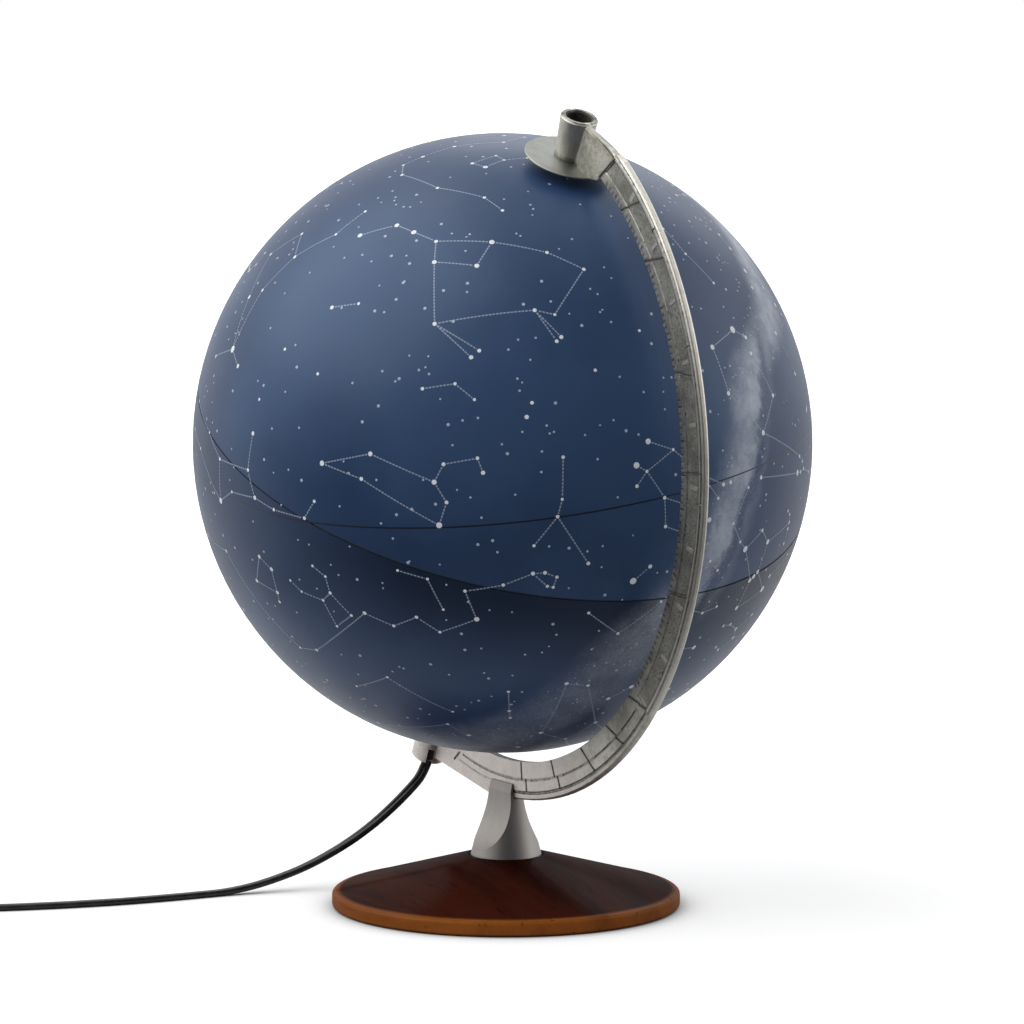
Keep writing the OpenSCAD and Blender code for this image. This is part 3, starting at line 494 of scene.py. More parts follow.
finishes = [
    (metal("zinc plate", (0.62, 0.63, 0.65), 0.32),
     ("base_bolt", "base_washer", "neck_screw", "pivot_screw", "rocker_pin", "switch_screws")),
    (metal("satin nickel", (0.40, 0.375, 0.355), 0.52, brush=(1, 1, 0.12), worn=0.22), ("neck",)),
    (antiquePewter("antique pewter"), ("meridian",)),
    (metal("satin pewter", (0.37, 0.385, 0.36), 0.50, worn=0.3), ("pole_disc",)),
    (moulded("black moulding", (0.014, 0.014, 0.015), 0.46),
     ("cord_grommet", "switch_base", "switch_cover", "coil_tie", "plug_body", "plug_relief")),
    (moulded("grey moulding", (0.045, 0.050, 0.062), 0.46), ("equator_hoop",)),
    (moulded("rocker gloss", (0.022, 0.022, 0.024), 0.25, grain=0.0006, coat=0.4), ("switch_rocker",)),
    (moulded("pale nylon", (0.68, 0.655, 0.60), 0.42), ("north_bush", "south_collar", "thrust_washer")),
    (moulded("ivory moulding", (0.74, 0.69, 0.60), 0.30, coat=0.3),
     ("holder_cap", "terminal_block", "holder_skirt")),
    (metal("turned brass", (0.78, 0.60, 0.30), 0.28),
     ("lamp_tube", "tube_nuts", "terminal_screws", "contact_sleeve", "centre_contact", "switch_contacts")),
    (metal("nickel plate", (0.78, 0.77, 0.74), 0.16, worn=0.1), ("plug_pins",)),
    (moulded("blue core", (0.05, 0.17, 0.42), 0.45), ("core_wires",)),
    (clearGlass("clear glass"), ("bulb_glass", "bulb_stem")),
    (metal("bulb cap", (0.72, 0.72, 0.73), 0.26), ("bulb_cap", "bulb_contact")),
    (metal("fine wire", (0.42, 0.42, 0.43), 0.35), ("lead_wires", "filament")),
    (feltPile("green felt"), ("felt_pad",)),
    (lacqueredWood("lacquered wood"), ("wood_base",))]


def paintNodes(material, members):
    for member in members:
        nodes[member].data.materials.clear()
        nodes[member].data.materials.append(material)


for material, members in finishes:
    paintNodes(material, members)
print("finishes on", sum(len(members) for material, members in finishes), "nodes")


# the star map: declination and right ascension become places on the tilted sphere
globe = {"radius": 150, "turn": 109.6, "lean": 1.27, "nod": 0.28, "hole": 86.5,
         "northStretch": (-0.20, -2.06), "southStretch": 5.2, "southReach": 50}

settle = (Matrix.Rotation(math.radians(globe["nod"]), 3, Vector((0, 1, 0)))
          @ Matrix.Rotation(math.radians(globe["lean"]), 3, meridianWay))


def skyWay(ascension, declination):
    shift = 0                                   # the printed map is stretched a little over each moulded half
    if declination >= 0:
        angle = math.radians(declination)
        broad, fine = globe["northStretch"]
        shift = broad * math.sin(2 * angle) + fine * math.sin(4 * angle)
    elif declination > -globe["southReach"]:
        shift = globe["southStretch"] * math.sin(math.radians(180 / globe["southReach"] * -declination))
    high = math.radians(declination + shift)
    turn = math.radians(globe["turn"] - ascension)
    flat = math.cos(turn) * meridianWay + math.sin(turn) * Vector((0, 1, 0))
    return settle @ (math.cos(high) * flat + math.sin(high) * northWay)


def onGlobe(way, lift):
    return (ballMiddle + (globe["radius"] + lift) * way) * mm


sphere = {"deep": (0.019, 0.046, 0.118), "mid": (0.034, 0.074, 0.168), "milk": (0.56, 0.61, 0.70),
          "dust": (0.78, 0.82, 0.88), "under": (0.003, 0.010, 0.032), "underReach": 0.062, "seamShadeFadeWay": (231, 0),
          "bandPole": (192.86, 27.13), "bandCentre": (266.4, -29), "bandSide": (318, 48.3),
          "bandWide": 0.16, "bandShift": 0.035, "laneWide": 0.045, "laneShift": 0.10}


def sphereShell(name):
    paint = newPaint(name)
    fromMiddle = paint.place().vector("SUBTRACT", tuple(ballMiddle * mm))
    way = paint.add("ShaderNodeVectorMath", {"operation": "NORMALIZE"}, {0: fromMiddle})
    latitude = way.along(skyWay(*sphere["bandPole"]))                         # 0 on the Milky Way's circle
    toCentre = way.along(skyWay(*sphere["bandCentre"]))
    quarter = way.along(skyWay(*sphere["bandSide"]))
    stray = paint.step(quarter, 0.15, 0.5) * paint.step(toCentre * -1, 0.1, 0.6)
    lower = paint.step(quarter * -1, 0.35, 0.8)
    clouds = paint.noise(3.2, 5, 0.6, vector=way)
    wisps = paint.noise(9, 5, 0.65, vector=way)
    wide = sphere["bandWide"] + paint.step(toCentre, -0.2, 1) * 0.13 - stray * 0.04 + lower * 0.03
    off = abs(latitude + sphere["bandShift"] + stray * 0.18 - lower * 0.08 + (clouds - 0.5) * 0.14)
    band = (1 - off / wide).math("MAXIMUM", 0)
    lane = abs(latitude + sphere["laneShift"] + (wisps - 0.5) * 0.12) / sphere["laneWide"]
    lane = (1 - lane).math("MAXIMUM", 0) * (1 - stray)
    rift = paint.step(wisps * 0.6 + clouds * 0.4, 0.52, 0.64) * 0.55 + paint.step(lane, 0, 0.8) * 0.8
    milk = paint.step(band, 0.05, 0.9) * (0.45 + paint.step(wisps, 0.35, 0.7) * 0.55)
    milk = milk * (1 - rift.math("MINIMUM", 1)) * (0.95 - lower * 0.6)
    dust = paint.step(paint.noise(260, 1, 0.5, vector=way), 0.62, 0.70) * paint.step(band, 0.1, 0.7)
    drift = paint.step(paint.noise(1.6, 3, 0.5, vector=way), 0.35, 0.65)
    sea = paint.mix(drift, sphere["deep"], sphere["mid"])
    height = fromMiddle.along(northWay)         # painted shade: the lower half is darker just under the seam, standing in for a dark reflection, and less so towards one side
    under = paint.step(height, -sphere["underReach"], -0.001) * (height < 0.0)
    under = under * (1 - paint.step(way.along(skyWay(*sphere["seamShadeFadeWay"])), 0.15, 0.75) * 0.7)
    sea = paint.mix(under * 0.85, sea, sphere["under"])
    shade = paint.mix(milk, sea, sphere["milk"])
    shade = paint.mix(dust * 0.30, shade, sphere["dust"])
    peel = paint.noise(700, 2, 0.5)
    rough = 0.40 + (paint.noise(30, 3, 0.6) - 0.5) * 0.10
    return paint.finish(Base_Color=shade, Roughness=rough, Specular_IOR_Level=0.46,
                        Specular_Tint=(0.74, 0.86, 1), Normal=paint.bump(peel, 0.00002, 0.4))


paintNodes(sphereShell("star sphere"), ("north_hemisphere", "south_hemisphere"))

# each figure: its stars as right ascension, declination and magnitude, then the chains that join them,
# in which a is the figure's first star, b its second and so on
figures = [
    ("206.9 49.3 1.9, 201 54.9 2.2, 193.5 56 1.8, 183.9 57 3.3, 178.5 53.7 2.4, 165.5 56.4 2.3,"
     "165.9 61.8 1.8, 142.9 63.1 3.7, 127.6 60.7 3.4, 137.2 51.6 4.4, 143.2 51.7 3.2, 167.4 44.5 3,"
     "154.3 42.9 3.4, 155.6 41.5 3, 134.8 48 3.1, 135.9 47.2 3.6", "abcdghijk defg el kl lm ln ko kp"),
    ("37.9 89.3 2, 263.1 86.6 4.4, 251.5 82 4.2, 236 77.8 4.3, 222.7 74.2 2.1, 230.2 71.8 3, 244.4 75.8 5",
     "abcdefgd"),
    ("269.2 51.5 2.2, 268.4 56.9 3.7, 263.1 55.2 4.9, 262.6 52.3 2.8, 288.1 67.7 3.1, 297 70.3 3.8,"
     "275.3 72.7 3.6, 257.2 65.7 3.2, 246 61.5 2.7, 240.5 58.6 4, 231.2 59 3.3, 211.1 64.4 3.7,"
     "188.4 69.8 3.9, 172.9 69.3 3.8", "abcda befghijklmn"),
    ("319.6 62.6 2.4, 322.2 70.6 3.2, 354.8 77.6 3.2, 342.4 66.2 3.5, 332.7 58.2 3.4", "abcdea bd"),
    ("2.3 59.1 2.3, 10.1 56.5 2.2, 14.2 60.7 2.5, 21.5 60.2 2.7, 28.6 63.7 3.4", "abcde"),
    ("2.1 29.1 2.1, 9.8 30.9 3.3, 17.4 35.6 2.1, 31 42.3 2.1, 14.2 38.5 3.9, 12.5 41.1 4.5", "abcd cef"),
    ("346.2 15.2 2.5, 345.9 28.1 2.4, 2.1 29.1 2.1, 3.3 15.2 2.8, 340.4 10.8 3.4, 332.5 6.2 3.5, 326 9.9 2.4,"
     "340.8 30.2 2.9, 331.8 25.3 3.8", "abcda aefg bh bi"),
    ("42.7 55.9 3.8, 46.2 53.5 2.9, 51.1 49.9 1.8, 55.7 47.8 3, 59.5 40 2.9, 58.5 31.9 2.9, 47.4 44.9 3.8,"
     "47 41 2.1, 46.3 38.8 3.4", "abcdef cghi"),
    ("28.3 29.6 3.4, 32.4 35 3, 34.3 33.8 4", "abca"),
    ("42.5 27.3 3.6, 31.8 23.5 2, 28.7 20.8 2.6, 28.4 19.3 3.9", "abcd"),
    ("79.2 46 0.1, 89.9 44.9 1.9, 89.9 37.2 2.6, 81.6 28.6 1.7, 74.2 33.2 2.7, 76.6 41.2 3.2, 75.5 43.8 3",
     "abcdefga"),
    ("81.6 28.6 1.7, 67.2 19.2 3.5, 65.7 17.5 3.8, 65 15.6 3.7, 67.2 15.9 3.4, 69 16.5 0.9, 84.4 21.1 3,"
     "60.2 12.5 3.5, 51.8 9.7 3.7, 56.9 24.1 2.9, 56.3 24.4 3.7, 57.3 24.1 3.6", "abcdefg dhi"),
    ("88.8 7.4 0.5, 83.8 9.9 3.4, 81.3 6.3 1.6, 83 -0.3 2.2, 84.1 -1.2 1.7, 85.2 -1.9 1.8, 86.9 -9.7 2.1,"
     "78.6 -8.2 0.1, 72.5 7 3.2, 72.8 5.6 3.7, 73.6 2.4 3.7, 72.7 8.9 4.4, 73.7 10.2 4.6, 90.6 9.6 4.1,"
     "93 14.2 4.5, 88.6 20.3 4.4", "abcdhgfa def ci kjilm anop"),
    ("113.6 31.9 1.6, 107.8 30.2 4.4, 101 25.1 3, 95.7 22.5 2.9, 93.7 22.5 3.3, 116.3 28 1.1, 114 26.9 4.1,"
     "110 22 3.5, 106 20.6 4, 99.4 16.4 1.9, 109.5 16.5 3.6, 101.3 12.9 3.4, 97.2 20.2 4.1, 116.1 24.4 3.6",
     "abcde fghij hkl cm gn bg"),
    ("131.7 28.8 4, 130.8 21.5 4.7, 131.2 18.2 3.9, 134.6 11.9 4.3, 124.1 9.2 3.5", "abcd ce"),
    ("152.1 12 1.4, 151.8 16.8 3.5, 155 19.8 2.2, 154.2 23.4 3.4, 148.2 26 3.9, 146.5 23.8 3, 168.5 20.5 2.6,"
     "177.3 14.6 2.1, 168.6 15.4 3.3", "abcdef cghia"),
    ("163.3 34.2 3.8, 157 36.7 4.2, 151.9 35.2 4.5", "abc"),
    ("194 38.3 2.9, 188.4 41.4 4.2", "ab"),
    ("197.5 17.5 4.3, 198 27.9 4.2, 186.7 28.3 4.4", ""),
    ("213.9 19.2 0, 221.2 27.1 2.4, 228.9 33.3 3.5, 225.5 40.4 3.5, 218 38.3 3, 218 30.4 3.6, 208.7 18.4 2.7,"
     "220.3 13.7 3.8, 214.1 46.1 4.2, 216.3 51.9 4", "abcdefa ag ah eij"),
    ("233.2 31.4 4.1, 232 29.1 3.7, 233.7 26.7 2.2, 235.7 26.3 3.8, 237.4 26.1 4.6, 239.4 26.9 4.1",
     "abcdef"),
    ("250.3 31.6 2.8, 250.7 38.9 3.5, 258.8 36.8 3.2, 255.1 30.9 3.9, 247.6 21.5 2.8, 245.5 19.2 3.8,"
     "258.8 24.8 3.1, 258.7 14.4 3.1, 269.1 37.3 3.9, 264.9 46 3.8, 248.5 42.4 4.2, 244.9 46.3 3.9,"
     "262.7 26.1 4.4, 266.6 27.7 3.4, 269.4 29.2 3.7", "abcda aef dgh cij bkl gmno"),
    ("279.2 38.8 0, 281.2 37.6 4.3, 282.5 33.4 3.5, 284.7 32.7 3.2, 283.6 36.9 4.3", "abcdeb"),
    ("310.4 45.3 1.3, 305.6 40.3 2.2, 299.1 35.1 3.9, 292.7 28 3.1, 318.2 30.2 3.2, 311.6 34 2.5,"
     "296.2 45.1 2.9, 292.4 51.7 3.8, 289.3 53.4 3.8", "abcd efbghi"),
    ("296.6 10.6 2.7, 297.7 8.9 0.8, 298.8 6.4 3.7, 291.4 3.1 3.4, 286.6 -4.9 3.4, 286.4 13.9 3, 298.1 1 3.9,"
     "302.8 -0.8 3.2", "abc bde df dgh"),
    ("308.3 11.3 4, 309.4 14.6 3.6, 309.9 15.9 3.8, 311.7 16.1 4.3, 310.9 15.1 4.4", "abcdeb"),
    ("295 18 4.4, 296.8 18.5 3.8, 299.7 19.5 3.5", "abc"),
    ("263.7 12.6 2.1, 254.4 9.4 3.2, 247.7 2 3.8, 243.6 -3.7 2.7, 244.6 -4.7 3.2, 249.3 -10.6 2.5,"
     "257.6 -15.7 2.4, 269.8 -9.8 3.3, 267 2.7 3.7, 265.9 4.6 2.8, 260.5 -25 3.3", "abcdefghija gk"),
    ("236.5 15.4 3.7, 239.1 15.7 3.8, 237.2 18.1 4.1, 233.7 10.5 3.8, 236.1 6.4 2.6, 237.7 4.5 3.7,"
     "237.4 -3.4 3.5, 264.4 -15.4 3.5, 275.3 -2.9 3.2, 284.1 4.2 4", "abcadefg hij"),
    ("201.3 -11.2 1, 197.5 -5.5 4.4, 190.4 -1.4 2.7, 185 -0.7 3.9, 177.7 1.8 3.6, 176.5 6.5 4, 193.9 3.4 3.4,"
     "195.5 11 2.8, 203.7 -0.6 3.4, 210.4 1.5 4.2, 221.6 1.9 3.7, 214 -6 4.1, 220.8 -5.7 3.9",
     "abcdef cgh gia ijk alm"),
    ("222.7 -16 2.7, 229.3 -9.4 2.6, 233.9 -14.8 3.9, 226 -25.3 3.3", "dabca"),
    ("241.4 -19.8 2.6, 240.1 -22.6 2.3, 239.7 -26.1 2.9, 245.3 -25.6 2.9, 247.4 -26.4 1, 249 -28.2 2.8,"
     "252.5 -34.3 2.3, 253 -38 3, 253.6 -42.4 3.6, 258 -43.2 3.3, 264.3 -43 1.9, 266.9 -40.1 3,"
     "265.6 -39 2.4, 263.4 -37.1 1.6", "abc bdefghijklmn"),
    ("271.5 -30.4 3, 275.2 -29.8 2.7, 276 -34.4 1.8, 277 -25.4 2.8, 281.4 -27 3.2, 283.8 -26.3 2,"
     "286.7 -27.7 3.3, 285.7 -29.9 2.6, 273.4 -21.1 3.8", "abca bdeb efghe ch di"),
    ("304.5 -12.5 3.6, 305.3 -14.8 3.1, 311.5 -25.3 4.1, 313 -26.9 4.1, 321.7 -22.4 3.7, 326.8 -16.1 2.9,"
     "325 -16.7 3.7, 316.5 -17.2 4.1", "abcdefghb"),
    ("311.9 -9.5 3.8, 322.9 -5.6 2.9, 331.4 -0.3 3, 335.4 -1.4 3.8, 337.2 0 3.7, 338.8 -0.1 4,"
     "348.6 -6 4.2, 343.2 -7.6 3.7, 342.4 -13.6 4, 343.7 -15.8 3.3", "abcdefghij"),
    ("349.3 3.3 3.7, 352 6.4 4.3, 355 5.6 4.1, 355.5 1.8 4.5, 351.7 1.3 4.9, 359.8 6.9 4, 12.2 7.6 4.4,"
     "15.7 7.9 4.3, 25.4 5.5 4.4, 30.5 2.8 3.8, 26.3 9.2 4.3, 22.9 15.3 3.6, 18.4 24.6 4.7, 17.9 30.1 4.5",
     "abcdea cfghijklmn"),
    ("45.6 4.1 2.5, 40.8 3.2 3.5, 39.9 0.3 4.1, 34.8 -3 3, 27.9 -10.3 3.7, 26 -15.9 3.5, 10.9 -18 2,"
     "4.9 -8.8 3.6, 17.1 -10.2 3.5, 21 -8.2 3.6, 44.9 8.9 4.7, 41.2 10.1 4.3, 37 8.5 4.3",
     "abcdefghije aklmb"),
    ("77 -5.1 2.8, 69.1 -3.4 3.9, 63 -6.8 4, 59.5 -13.5 3, 55.8 -9.8 3.5, 53.2 -9.5 3.7, 44.1 -8.9 3.9,"
     "49.9 -21.8 3.7, 56.7 -23.2 4.2, 68.9 -30.6 3.8, 64.5 -33.8 3.6, 44.6 -40.3 3, 36.7 -47.7 4.2,"
     "34.1 -51.5 3.6, 29 -51.6 3.7, 24.4 -57.2 0.5", "abcdefghijklmnop"),
    ("78.2 -16.2 3.3, 83.2 -17.8 2.6, 82.1 -20.8 2.8, 76.4 -22.4 3.2, 86.7 -14.8 3.5, 89.1 -14.2 3.7,"
     "86.1 -22.4 3.6, 87.8 -20.9 3.8", "abcda bef cgh"),
    ("101.3 -16.7 -1, 95.7 -18 2, 105.8 -23.8 3, 107.1 -26.4 1.8, 104.7 -29 1.5, 95.1 -30.1 3,"
     "111 -29.3 2.4, 104 -17.1 4.4, 105.9 -15.6 4.1", "ba acdef dg ahi"),
    ("114.8 5.2 0.4, 111.8 8.3 2.9", "ab"),
    ("122.1 -3 4.3, 115.3 -9.6 3.9, 108 -0.5 4.2, 97.2 -7 3.9, 93.7 -6.3 4, 95.9 4.6 4.4, 98.2 7.3 4.5",
     "abcde cfg"),
    ("131.7 6.4 3.4, 129.4 5.7 4.1, 129.7 3.3 4.4, 130.8 3.4 4.3, 133.8 5.9 3.1, 138.6 2.3 3.9, 145 -1.1 3.9,"
     "141.9 -8.7 2, 147.9 -14.8 4.1, 152.6 -12.4 3.6, 156.5 -16.8 3.8, 162.4 -16.2 3.1, 173.3 -31.9 3.5,"
     "178.2 -33.9 4.3, 199.7 -23.2 3, 211.6 -26.7 3.3", "eabcde efghijklmnop"),
    ("152 -0.4 4.5, 157.6 -0.6 4.8, 148.1 -8.1 4.8", "bac"),
    ("165 -18.3 4.1, 167.9 -22.8 4.5, 171.2 -17.7 4.1, 169.8 -14.8 3.6, 171.2 -10.9 4.6, 174.2 -9.8 4.6,"
     "176.2 -18.4 4.7, 179 -17.2 5", "abcda def cgh"),
    ("182.1 -24.7 4, 182.5 -22.6 3, 184 -17.5 2.6, 187.5 -16.5 3, 188.6 -23.4 2.7", "abcdeb"),
    ("121.9 -24.3 2.8, 117.3 -24.9 3.3, 109.3 -37.1 2.7, 99.4 -43.2 3.2, 102.5 -50.6 2.9, 112.3 -43.3 3.3,"
     "120.9 -40 2.2", "abcdefga cf"),
    ("132.6 -27.7 4, 130.9 -33.2 3.7, 130 -35.3 4", "abc"),
    ("142.3 -36 4.5, 156.8 -31.1 4.3, 164.2 -37.1 4.6", "abc"),
    ("122.4 -47.3 1.8, 131.2 -54.7 2, 140.5 -55 2.5, 149.2 -54.6 3.5, 161.7 -49.4 2.7, 142.7 -40.5 3.6,"
     "137 -43.4 2.2", "abcdefga"),
    ("96 -52.7 -0.7, 119.2 -53 3.4, 125.6 -59.5 1.9, 139.3 -59.3 2.3, 146.8 -65.1 3, 138.3 -69.7 1.7,"
     "153.4 -70 3.3, 160.7 -64.4 2.8", "abcdefghe"),
    ("186.6 -63.1 0.8, 187.8 -57.1 1.6, 191.9 -59.7 1.3, 183.8 -58.7 2.8", "ab cd"),
    ("219.9 -60.8 0, 211 -60.4 0.6, 205 -53.5 2.3, 208.9 -47.3 2.6, 207.4 -42.5 3, 211.7 -36.4 2.1,"
     "200.1 -36.7 2.8, 190.4 -49 2.2, 182.1 -50.7 2.6, 218.9 -42.2 2.3", "ac bcdef eg chi dj"),
    ("228.1 -52.1 3.4, 220.5 -47.4 2.3, 224.6 -43.1 2.7, 230.3 -40.6 3.2, 233.8 -41.2 2.8", "abcde"),
    ("254.7 -56 3.1, 261.3 -55.5 2.8, 263 -49.9 2.8", "abc"),
    ("252.2 -69 1.9, 238.8 -63.4 2.8, 229.7 -68.7 2.9", "abca"),
    ("328.5 -37.4 3, 332.1 -47 1.7, 340.7 -46.9 2.1, 342.1 -51.3 3.5", "abcd"),
    ("344.4 -29.6 1.2, 340.2 -27 4.2, 326.2 -33 4.3, 337.9 -32.3 4.3", "abcda"),
    ("2.4 -45.7 3.9, 6.6 -42.3 2.4, 16.5 -46.7 3.3, 22.1 -43.3 3.4", "abcd"),
    ("334.6 -60.3 2.9, 349.4 -58.2 4, 7.9 -63 4.3", "abc"),
    ("306.4 -56.7 1.9, 311.2 -66.2 3.4, 302.2 -66.2 3.6", "abca"),
    ("29.7 -61.6 2.9, 6.4 -77.3 2.8, 56.8 -74.2 3.2", "abca"),
    ("64 -51.5 4.3, 68.5 -55 3.3, 83.4 -62.5 3.8", "abc"),
    ("325.4 -77.4 3.8, 216.7 -83.7 4.3, 341.5 -81.4 4.1", "abca"),
    ("84.9 -34.1 2.6, 87.7 -35.8 3.1, 95.5 -33.4 3.9", "abc"),
    ("335.9 52.2 4.4, 337.8 50.3 3.8, 333 37.7 4.1", "abc"),
    ("73.5 66.3 4.3, 75.9 60.4 4, 74.3 53.8 4.4", "abc"),
    ("140.3 34.4 3.1, 139.7 36.8 3.8, 125.7 43.2 4.2, 112 49.7 4.6", "")]

ink = {"brightest": 1.95, "faintest": 0.72, "brightAt": -0.5, "faintAt": 4.8, "growth": 1.25,
       "corners": 16, "faintCorners": 8, "dome": 0.04, "lift": 0.03,
       "line": 0.66, "dash": 1.25, "gap": 0.45, "keepOff": 0.5,
       "pathWidth": 0.7, "pathLift": 0.02, "pathSlope": 23.44, "pathSteps": 180,
       "faintStars": 1100, "faintSizes": (0.50, 0.56, 0.62, 0.80), "apart": 0.035, "seed": 7,
       "bandStars": 520, "bandSizes": (0.34, 0.38, 0.46, 0.58), "bandSpread": 0.13,
       "white": (0.80, 0.83, 0.88), "faint": (0.42, 0.48, 0.59), "lines": (0.27, 0.33, 0.45),
       "dark": (0.006, 0.010, 0.022)}


def inkFinish(name, color):
    paint = newPaint(name)
    dots = paint.noise(1500, 2, 0.5)
    shade = paint.mix(paint.step(dots, 0.35, 0.65), color, tuple(min(1, c * 1.12) for c in color))
    return paint.finish(Base_Color=shade, Roughness=0.42 + (dots - 0.5) * 0.1, Coat_Weight=0.25,
                        Coat_Roughness=0.22)


def printed(name, pattern, marks):              # one mesh of copies of a modelled dot, each facing outward
    points, faces = [], []
    corners = [vertex.co.copy() for vertex in pattern.data.vertices]
    sides = [tuple(face.vertices) for face in pattern.data.polygons]
    for way, size in marks:
        turned = way.to_track_quat("Z", "Y").to_matrix().to_4x4()
        matrix = Matrix.Translation(onGlobe(way, ink["lift"])) @ turned
        start = len(points)
        points += [matrix @ (corner * size) for corner in corners]
        faces += [tuple(start + i for i in side) for side in sides]
    bpy.data.objects.remove(pattern)
    return meshFrom(name, points, faces)


def dot(corners):                               # a printed dot: a small disc with its middle raised a little
    deselectAll()
    bpy.ops.mesh.primitive_circle_add(vertices=corners, radius=1, fill_type="TRIFAN")
    pattern = bpy.context.object
    bpy.ops.object.mode_set(mode="EDIT")
    bpy.ops.mesh.select_all(action="DESELECT")
    bpy.ops.object.mode_set(mode="OBJECT")
    for vertex in pattern.data.vertices:
        vertex.select = vertex.co.length < 0.1
    bpy.ops.object.mode_set(mode="EDIT")
    bpy.ops.transform.translate(value=(0, 0, ink["dome"]))
    bpy.ops.object.mode_set(mode="OBJECT")
    return pattern


stars, chains = {}, []
for text, links in figures:
    own = [tuple(float(n) for n in star.split()) for star in text.split(",")]
    for star in own:
        stars[star[:2]] = star[2]
    for chain in links.split():
        chains += [(own[ord(a) - ord("a")], own[ord(b) - ord("a")]) for a, b in zip(chain, chain[1:])]


def starSize(magnitude):
    share = min(1, max(0, (ink["faintAt"] - magnitude) / (ink["faintAt"] - ink["brightAt"])))
    return (ink["faintest"] + (ink["brightest"] - ink["faintest"]) * share ** ink["growth"]) * mm


dice = random.Random(ink["seed"])
named = [(skyWay(*place), starSize(magnitude)) for place, magnitude in stars.items()]
galactic = skyWay(*sphere["bandPole"])
faint = []
while len(faint) < ink["faintStars"] + ink["bandStars"]:
    way = Vector((dice.gauss(0, 1), dice.gauss(0, 1), dice.gauss(0, 1))).normalized()
    inBand = len(faint) >= ink["faintStars"]
    if abs(way.dot(northWay)) > math.sin(math.radians(globe["hole"])):
        continue
    if inBand and abs(way.dot(galactic)) > abs(dice.gauss(0, ink["bandSpread"])):
        continue
    if inBand or all(way.angle(other) > ink["apart"] for other, size in named):
        faint.append((way, dice.choice(ink["bandSizes"] if inBand else ink["faintSizes"]) * mm))

dress(printed("starMap", dot(ink["corners"]), named), "ball",
      inkFinish("white ink", ink["white"]))
dress(printed("faintStars", dot(ink["faintCorners"]), faint), "ball",
      inkFinish("faint ink", ink["faint"]))


def wrap(name, pieces, width, lift):            # flat strips laid on the sphere along lists of directions
    points, faces = [], []
    for ways in pieces:
        start = len(points)
        for i, way in enumerate(ways):
            ahead = ways[min(i + 1, len(ways) - 1)] - ways[max(i - 1, 0)]
            side = way.cross(ahead).normalized() * (width / 2 * mm)
            points += [onGlobe(way, lift) - side, onGlobe(way, lift) + side]
        for i in range(len(ways) - 1):
            a = start + 2 * i
            faces.append((a, a + 2, a + 3, a + 1))
    return meshFrom(name, points, faces)


dashes = []
for (ra, dec, magnitude), (toRa, toDec, toMagnitude) in chains:
    first, second = skyWay(ra, dec), skyWay(toRa, toDec)
    whole = first.angle(second) * globe["radius"]
    place = starSize(magnitude) / mm + ink["keepOff"]
    end = whole - starSize(toMagnitude) / mm - ink["keepOff"]
    while place < end:
        stop = min(end, place + ink["dash"])
        dashes.append([first.slerp(second, reach / whole) for reach in (place, stop)])
        place = stop + ink["gap"]
dress(wrap("figureLines", dashes, ink["line"], ink["lift"]), "ball",
      inkFinish("line ink", ink["lines"]))

ecliptic = []
slope = math.radians(ink["pathSlope"])
for k in range(ink["pathSteps"] + 1):           # the Sun's yearly path, a thin dark line
    run = math.radians(360 / ink["pathSteps"] * k)
    ecliptic.append(skyWay(math.degrees(math.atan2(math.sin(run) * math.cos(slope), math.cos(run))),
                           math.degrees(math.asin(math.sin(slope) * math.sin(run)))))
dress(wrap("sunPath", [ecliptic], ink["pathWidth"], ink["pathLift"]), "ball",
      inkFinish("dark ink", ink["dark"]))
print("star map printed,", len(named), "stars of figures and", len(dashes), "dashes")


# floor, backdrop and studio light
studio = {"width": 12, "floor": (0.86, 0.86, 0.86), "dim": (0.05, 0.05, 0.055), "glow": 1.72,
          "contact": 0.045, "floorShine": 0.36, "world": 0.34, "worldNear": 0.07, "worldShine": 0.95,
          "lamps": {                            # right, near and up, the height aimed at, size, power
              "keyLight": ((-1.5, 0.3, 2.25), 0.2, (3.6, 3.2), 66),
              "fillLight": ((2.2, -0.3, 1.1), 0.2, (1.6, 1.8), 9),
              "backLight": ((0.6, -2.0, 1.6), 0.25, (1.8, 1.2), 6)}}
turnView = math.radians(view["azimuth"])
rightWay = Vector((math.cos(turnView), math.sin(turnView), 0))
nearWay = Vector((math.sin(turnView), -math.cos(turnView), 0))

deselectAll()
bpy.ops.mesh.primitive_plane_add(size=studio["width"], location=(0, 0, 0))
floor = bpy.context.object
floor.name = "floor"
floor.data.name = "floor"


def rays(paint, name):
    return Wire(paint, paint.add("ShaderNodeLightPath").socket.node.outputs[name])


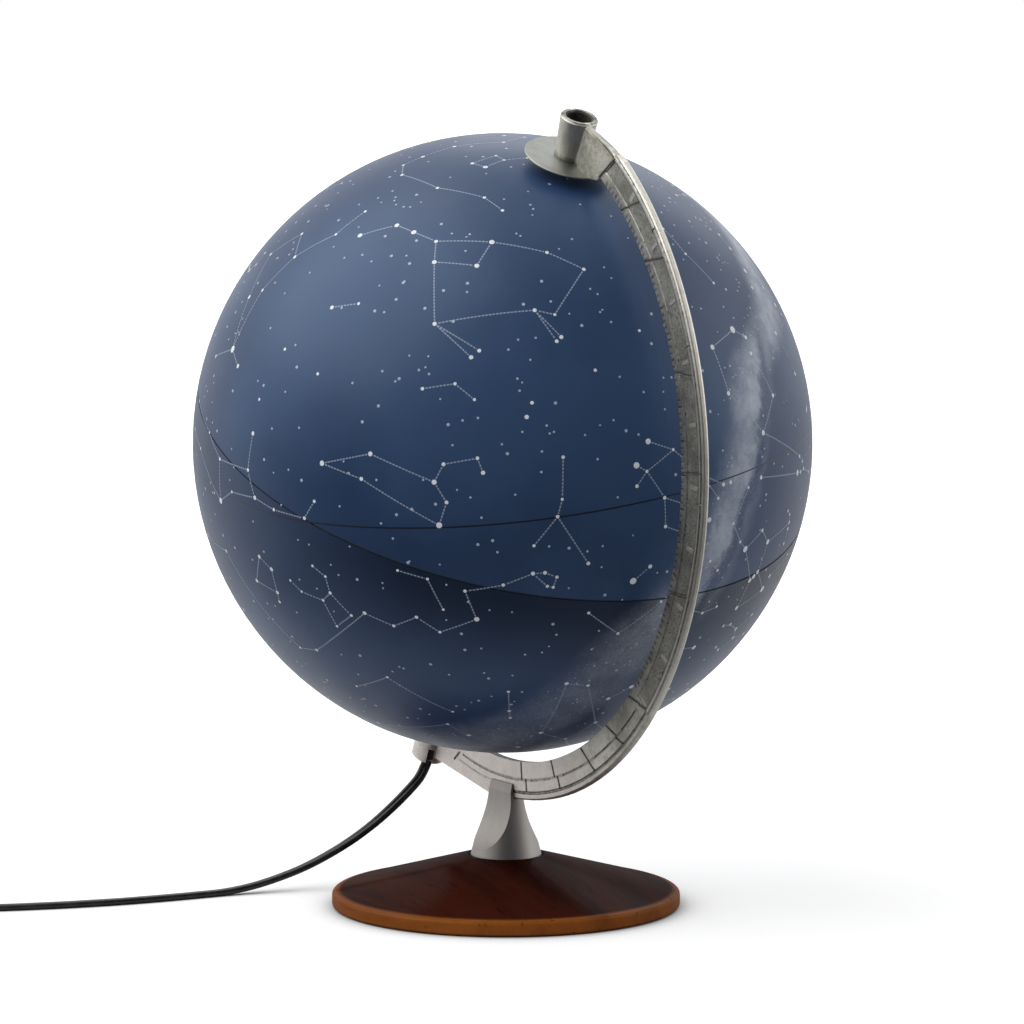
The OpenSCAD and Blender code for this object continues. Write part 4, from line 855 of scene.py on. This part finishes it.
def shadowFloor(name):                          # white with its shadow, but dim in front in reflections
    paint = newPaint(name)
    glossy = rays(paint, "Is Glossy Ray")
    front = paint.step(paint.place().along(nearWay), -0.1, 0.35)
    away = paint.step(paint.place().size(), 0.3, 1.2)
    dimmed = (0.55 + front * 0.45) * glossy + rays(paint, "Is Diffuse Ray") * 0.5
    matt = paint.add("ShaderNodeBsdfDiffuse", None, {
        "Color": paint.mix(dimmed, studio["floor"], studio["dim"])})
    clear = paint.add("ShaderNodeAmbientOcclusion", {"samples": 12}, {"Distance": studio["contact"]}, "AO")
    glow = paint.add("ShaderNodeEmission", None, {
        "Color": (1, 1, 1, 1), "Strength": clear * clear * studio["glow"]})
    seen = (rays(paint, "Is Camera Ray") + rays(paint, "Is Transmission Ray")).math("MINIMUM", 1)
    share = seen * (0.42 + away * 0.5) + glossy * (1 - front) * studio["floorShine"]
    return paint.close(paint.add("ShaderNodeMixShader", None, {0: share, 1: matt, 2: glow}))


floor.data.materials.append(shadowFloor("floor white"))


def studioWorld(name):                          # white behind, dim on the camera's side in reflections
    paint = Paint(bpy.data.worlds.new(name))
    glossy = rays(paint, "Is Glossy Ray")
    direction = paint.add("ShaderNodeTexCoord", out="Generated")
    front = paint.step(direction.along(nearWay), -0.2, 0.7)
    strength = studio["world"] + (studio["worldNear"] - studio["world"]) * (glossy * front)
    ambient = paint.add("ShaderNodeBackground", None, {"Color": (0.94, 0.96, 1, 1), "Strength": strength})
    white = paint.add("ShaderNodeBackground", None, {"Color": (1, 1, 1, 1), "Strength": 1})
    seen = (rays(paint, "Is Camera Ray") + glossy * (1 - front) * studio["worldShine"]
            + rays(paint, "Is Transmission Ray")).math("MINIMUM", 1)
    both = paint.add("ShaderNodeMixShader", None, {0: seen, 1: ambient, 2: white})
    return paint.close(both, "ShaderNodeOutputWorld")


bpy.context.scene.world = studioWorld("studio")

for name, (place, aim, size, power) in studio["lamps"].items():
    data = bpy.data.lights.new(name, "AREA")
    data.shape = "RECTANGLE"
    data.size, data.size_y = size
    data.energy = power
    lamp = bpy.data.objects.new(name, data)
    bpy.context.scene.collection.objects.link(lamp)
    lamp.location = place[0] * rightWay + place[1] * nearWay + place[2] * upward
    lamp.rotation_euler = (aim * upward - lamp.location).to_track_quat("-Z", "Y").to_euler()
bpy.context.scene.view_settings.view_transform = "Standard"
print("studio lit")
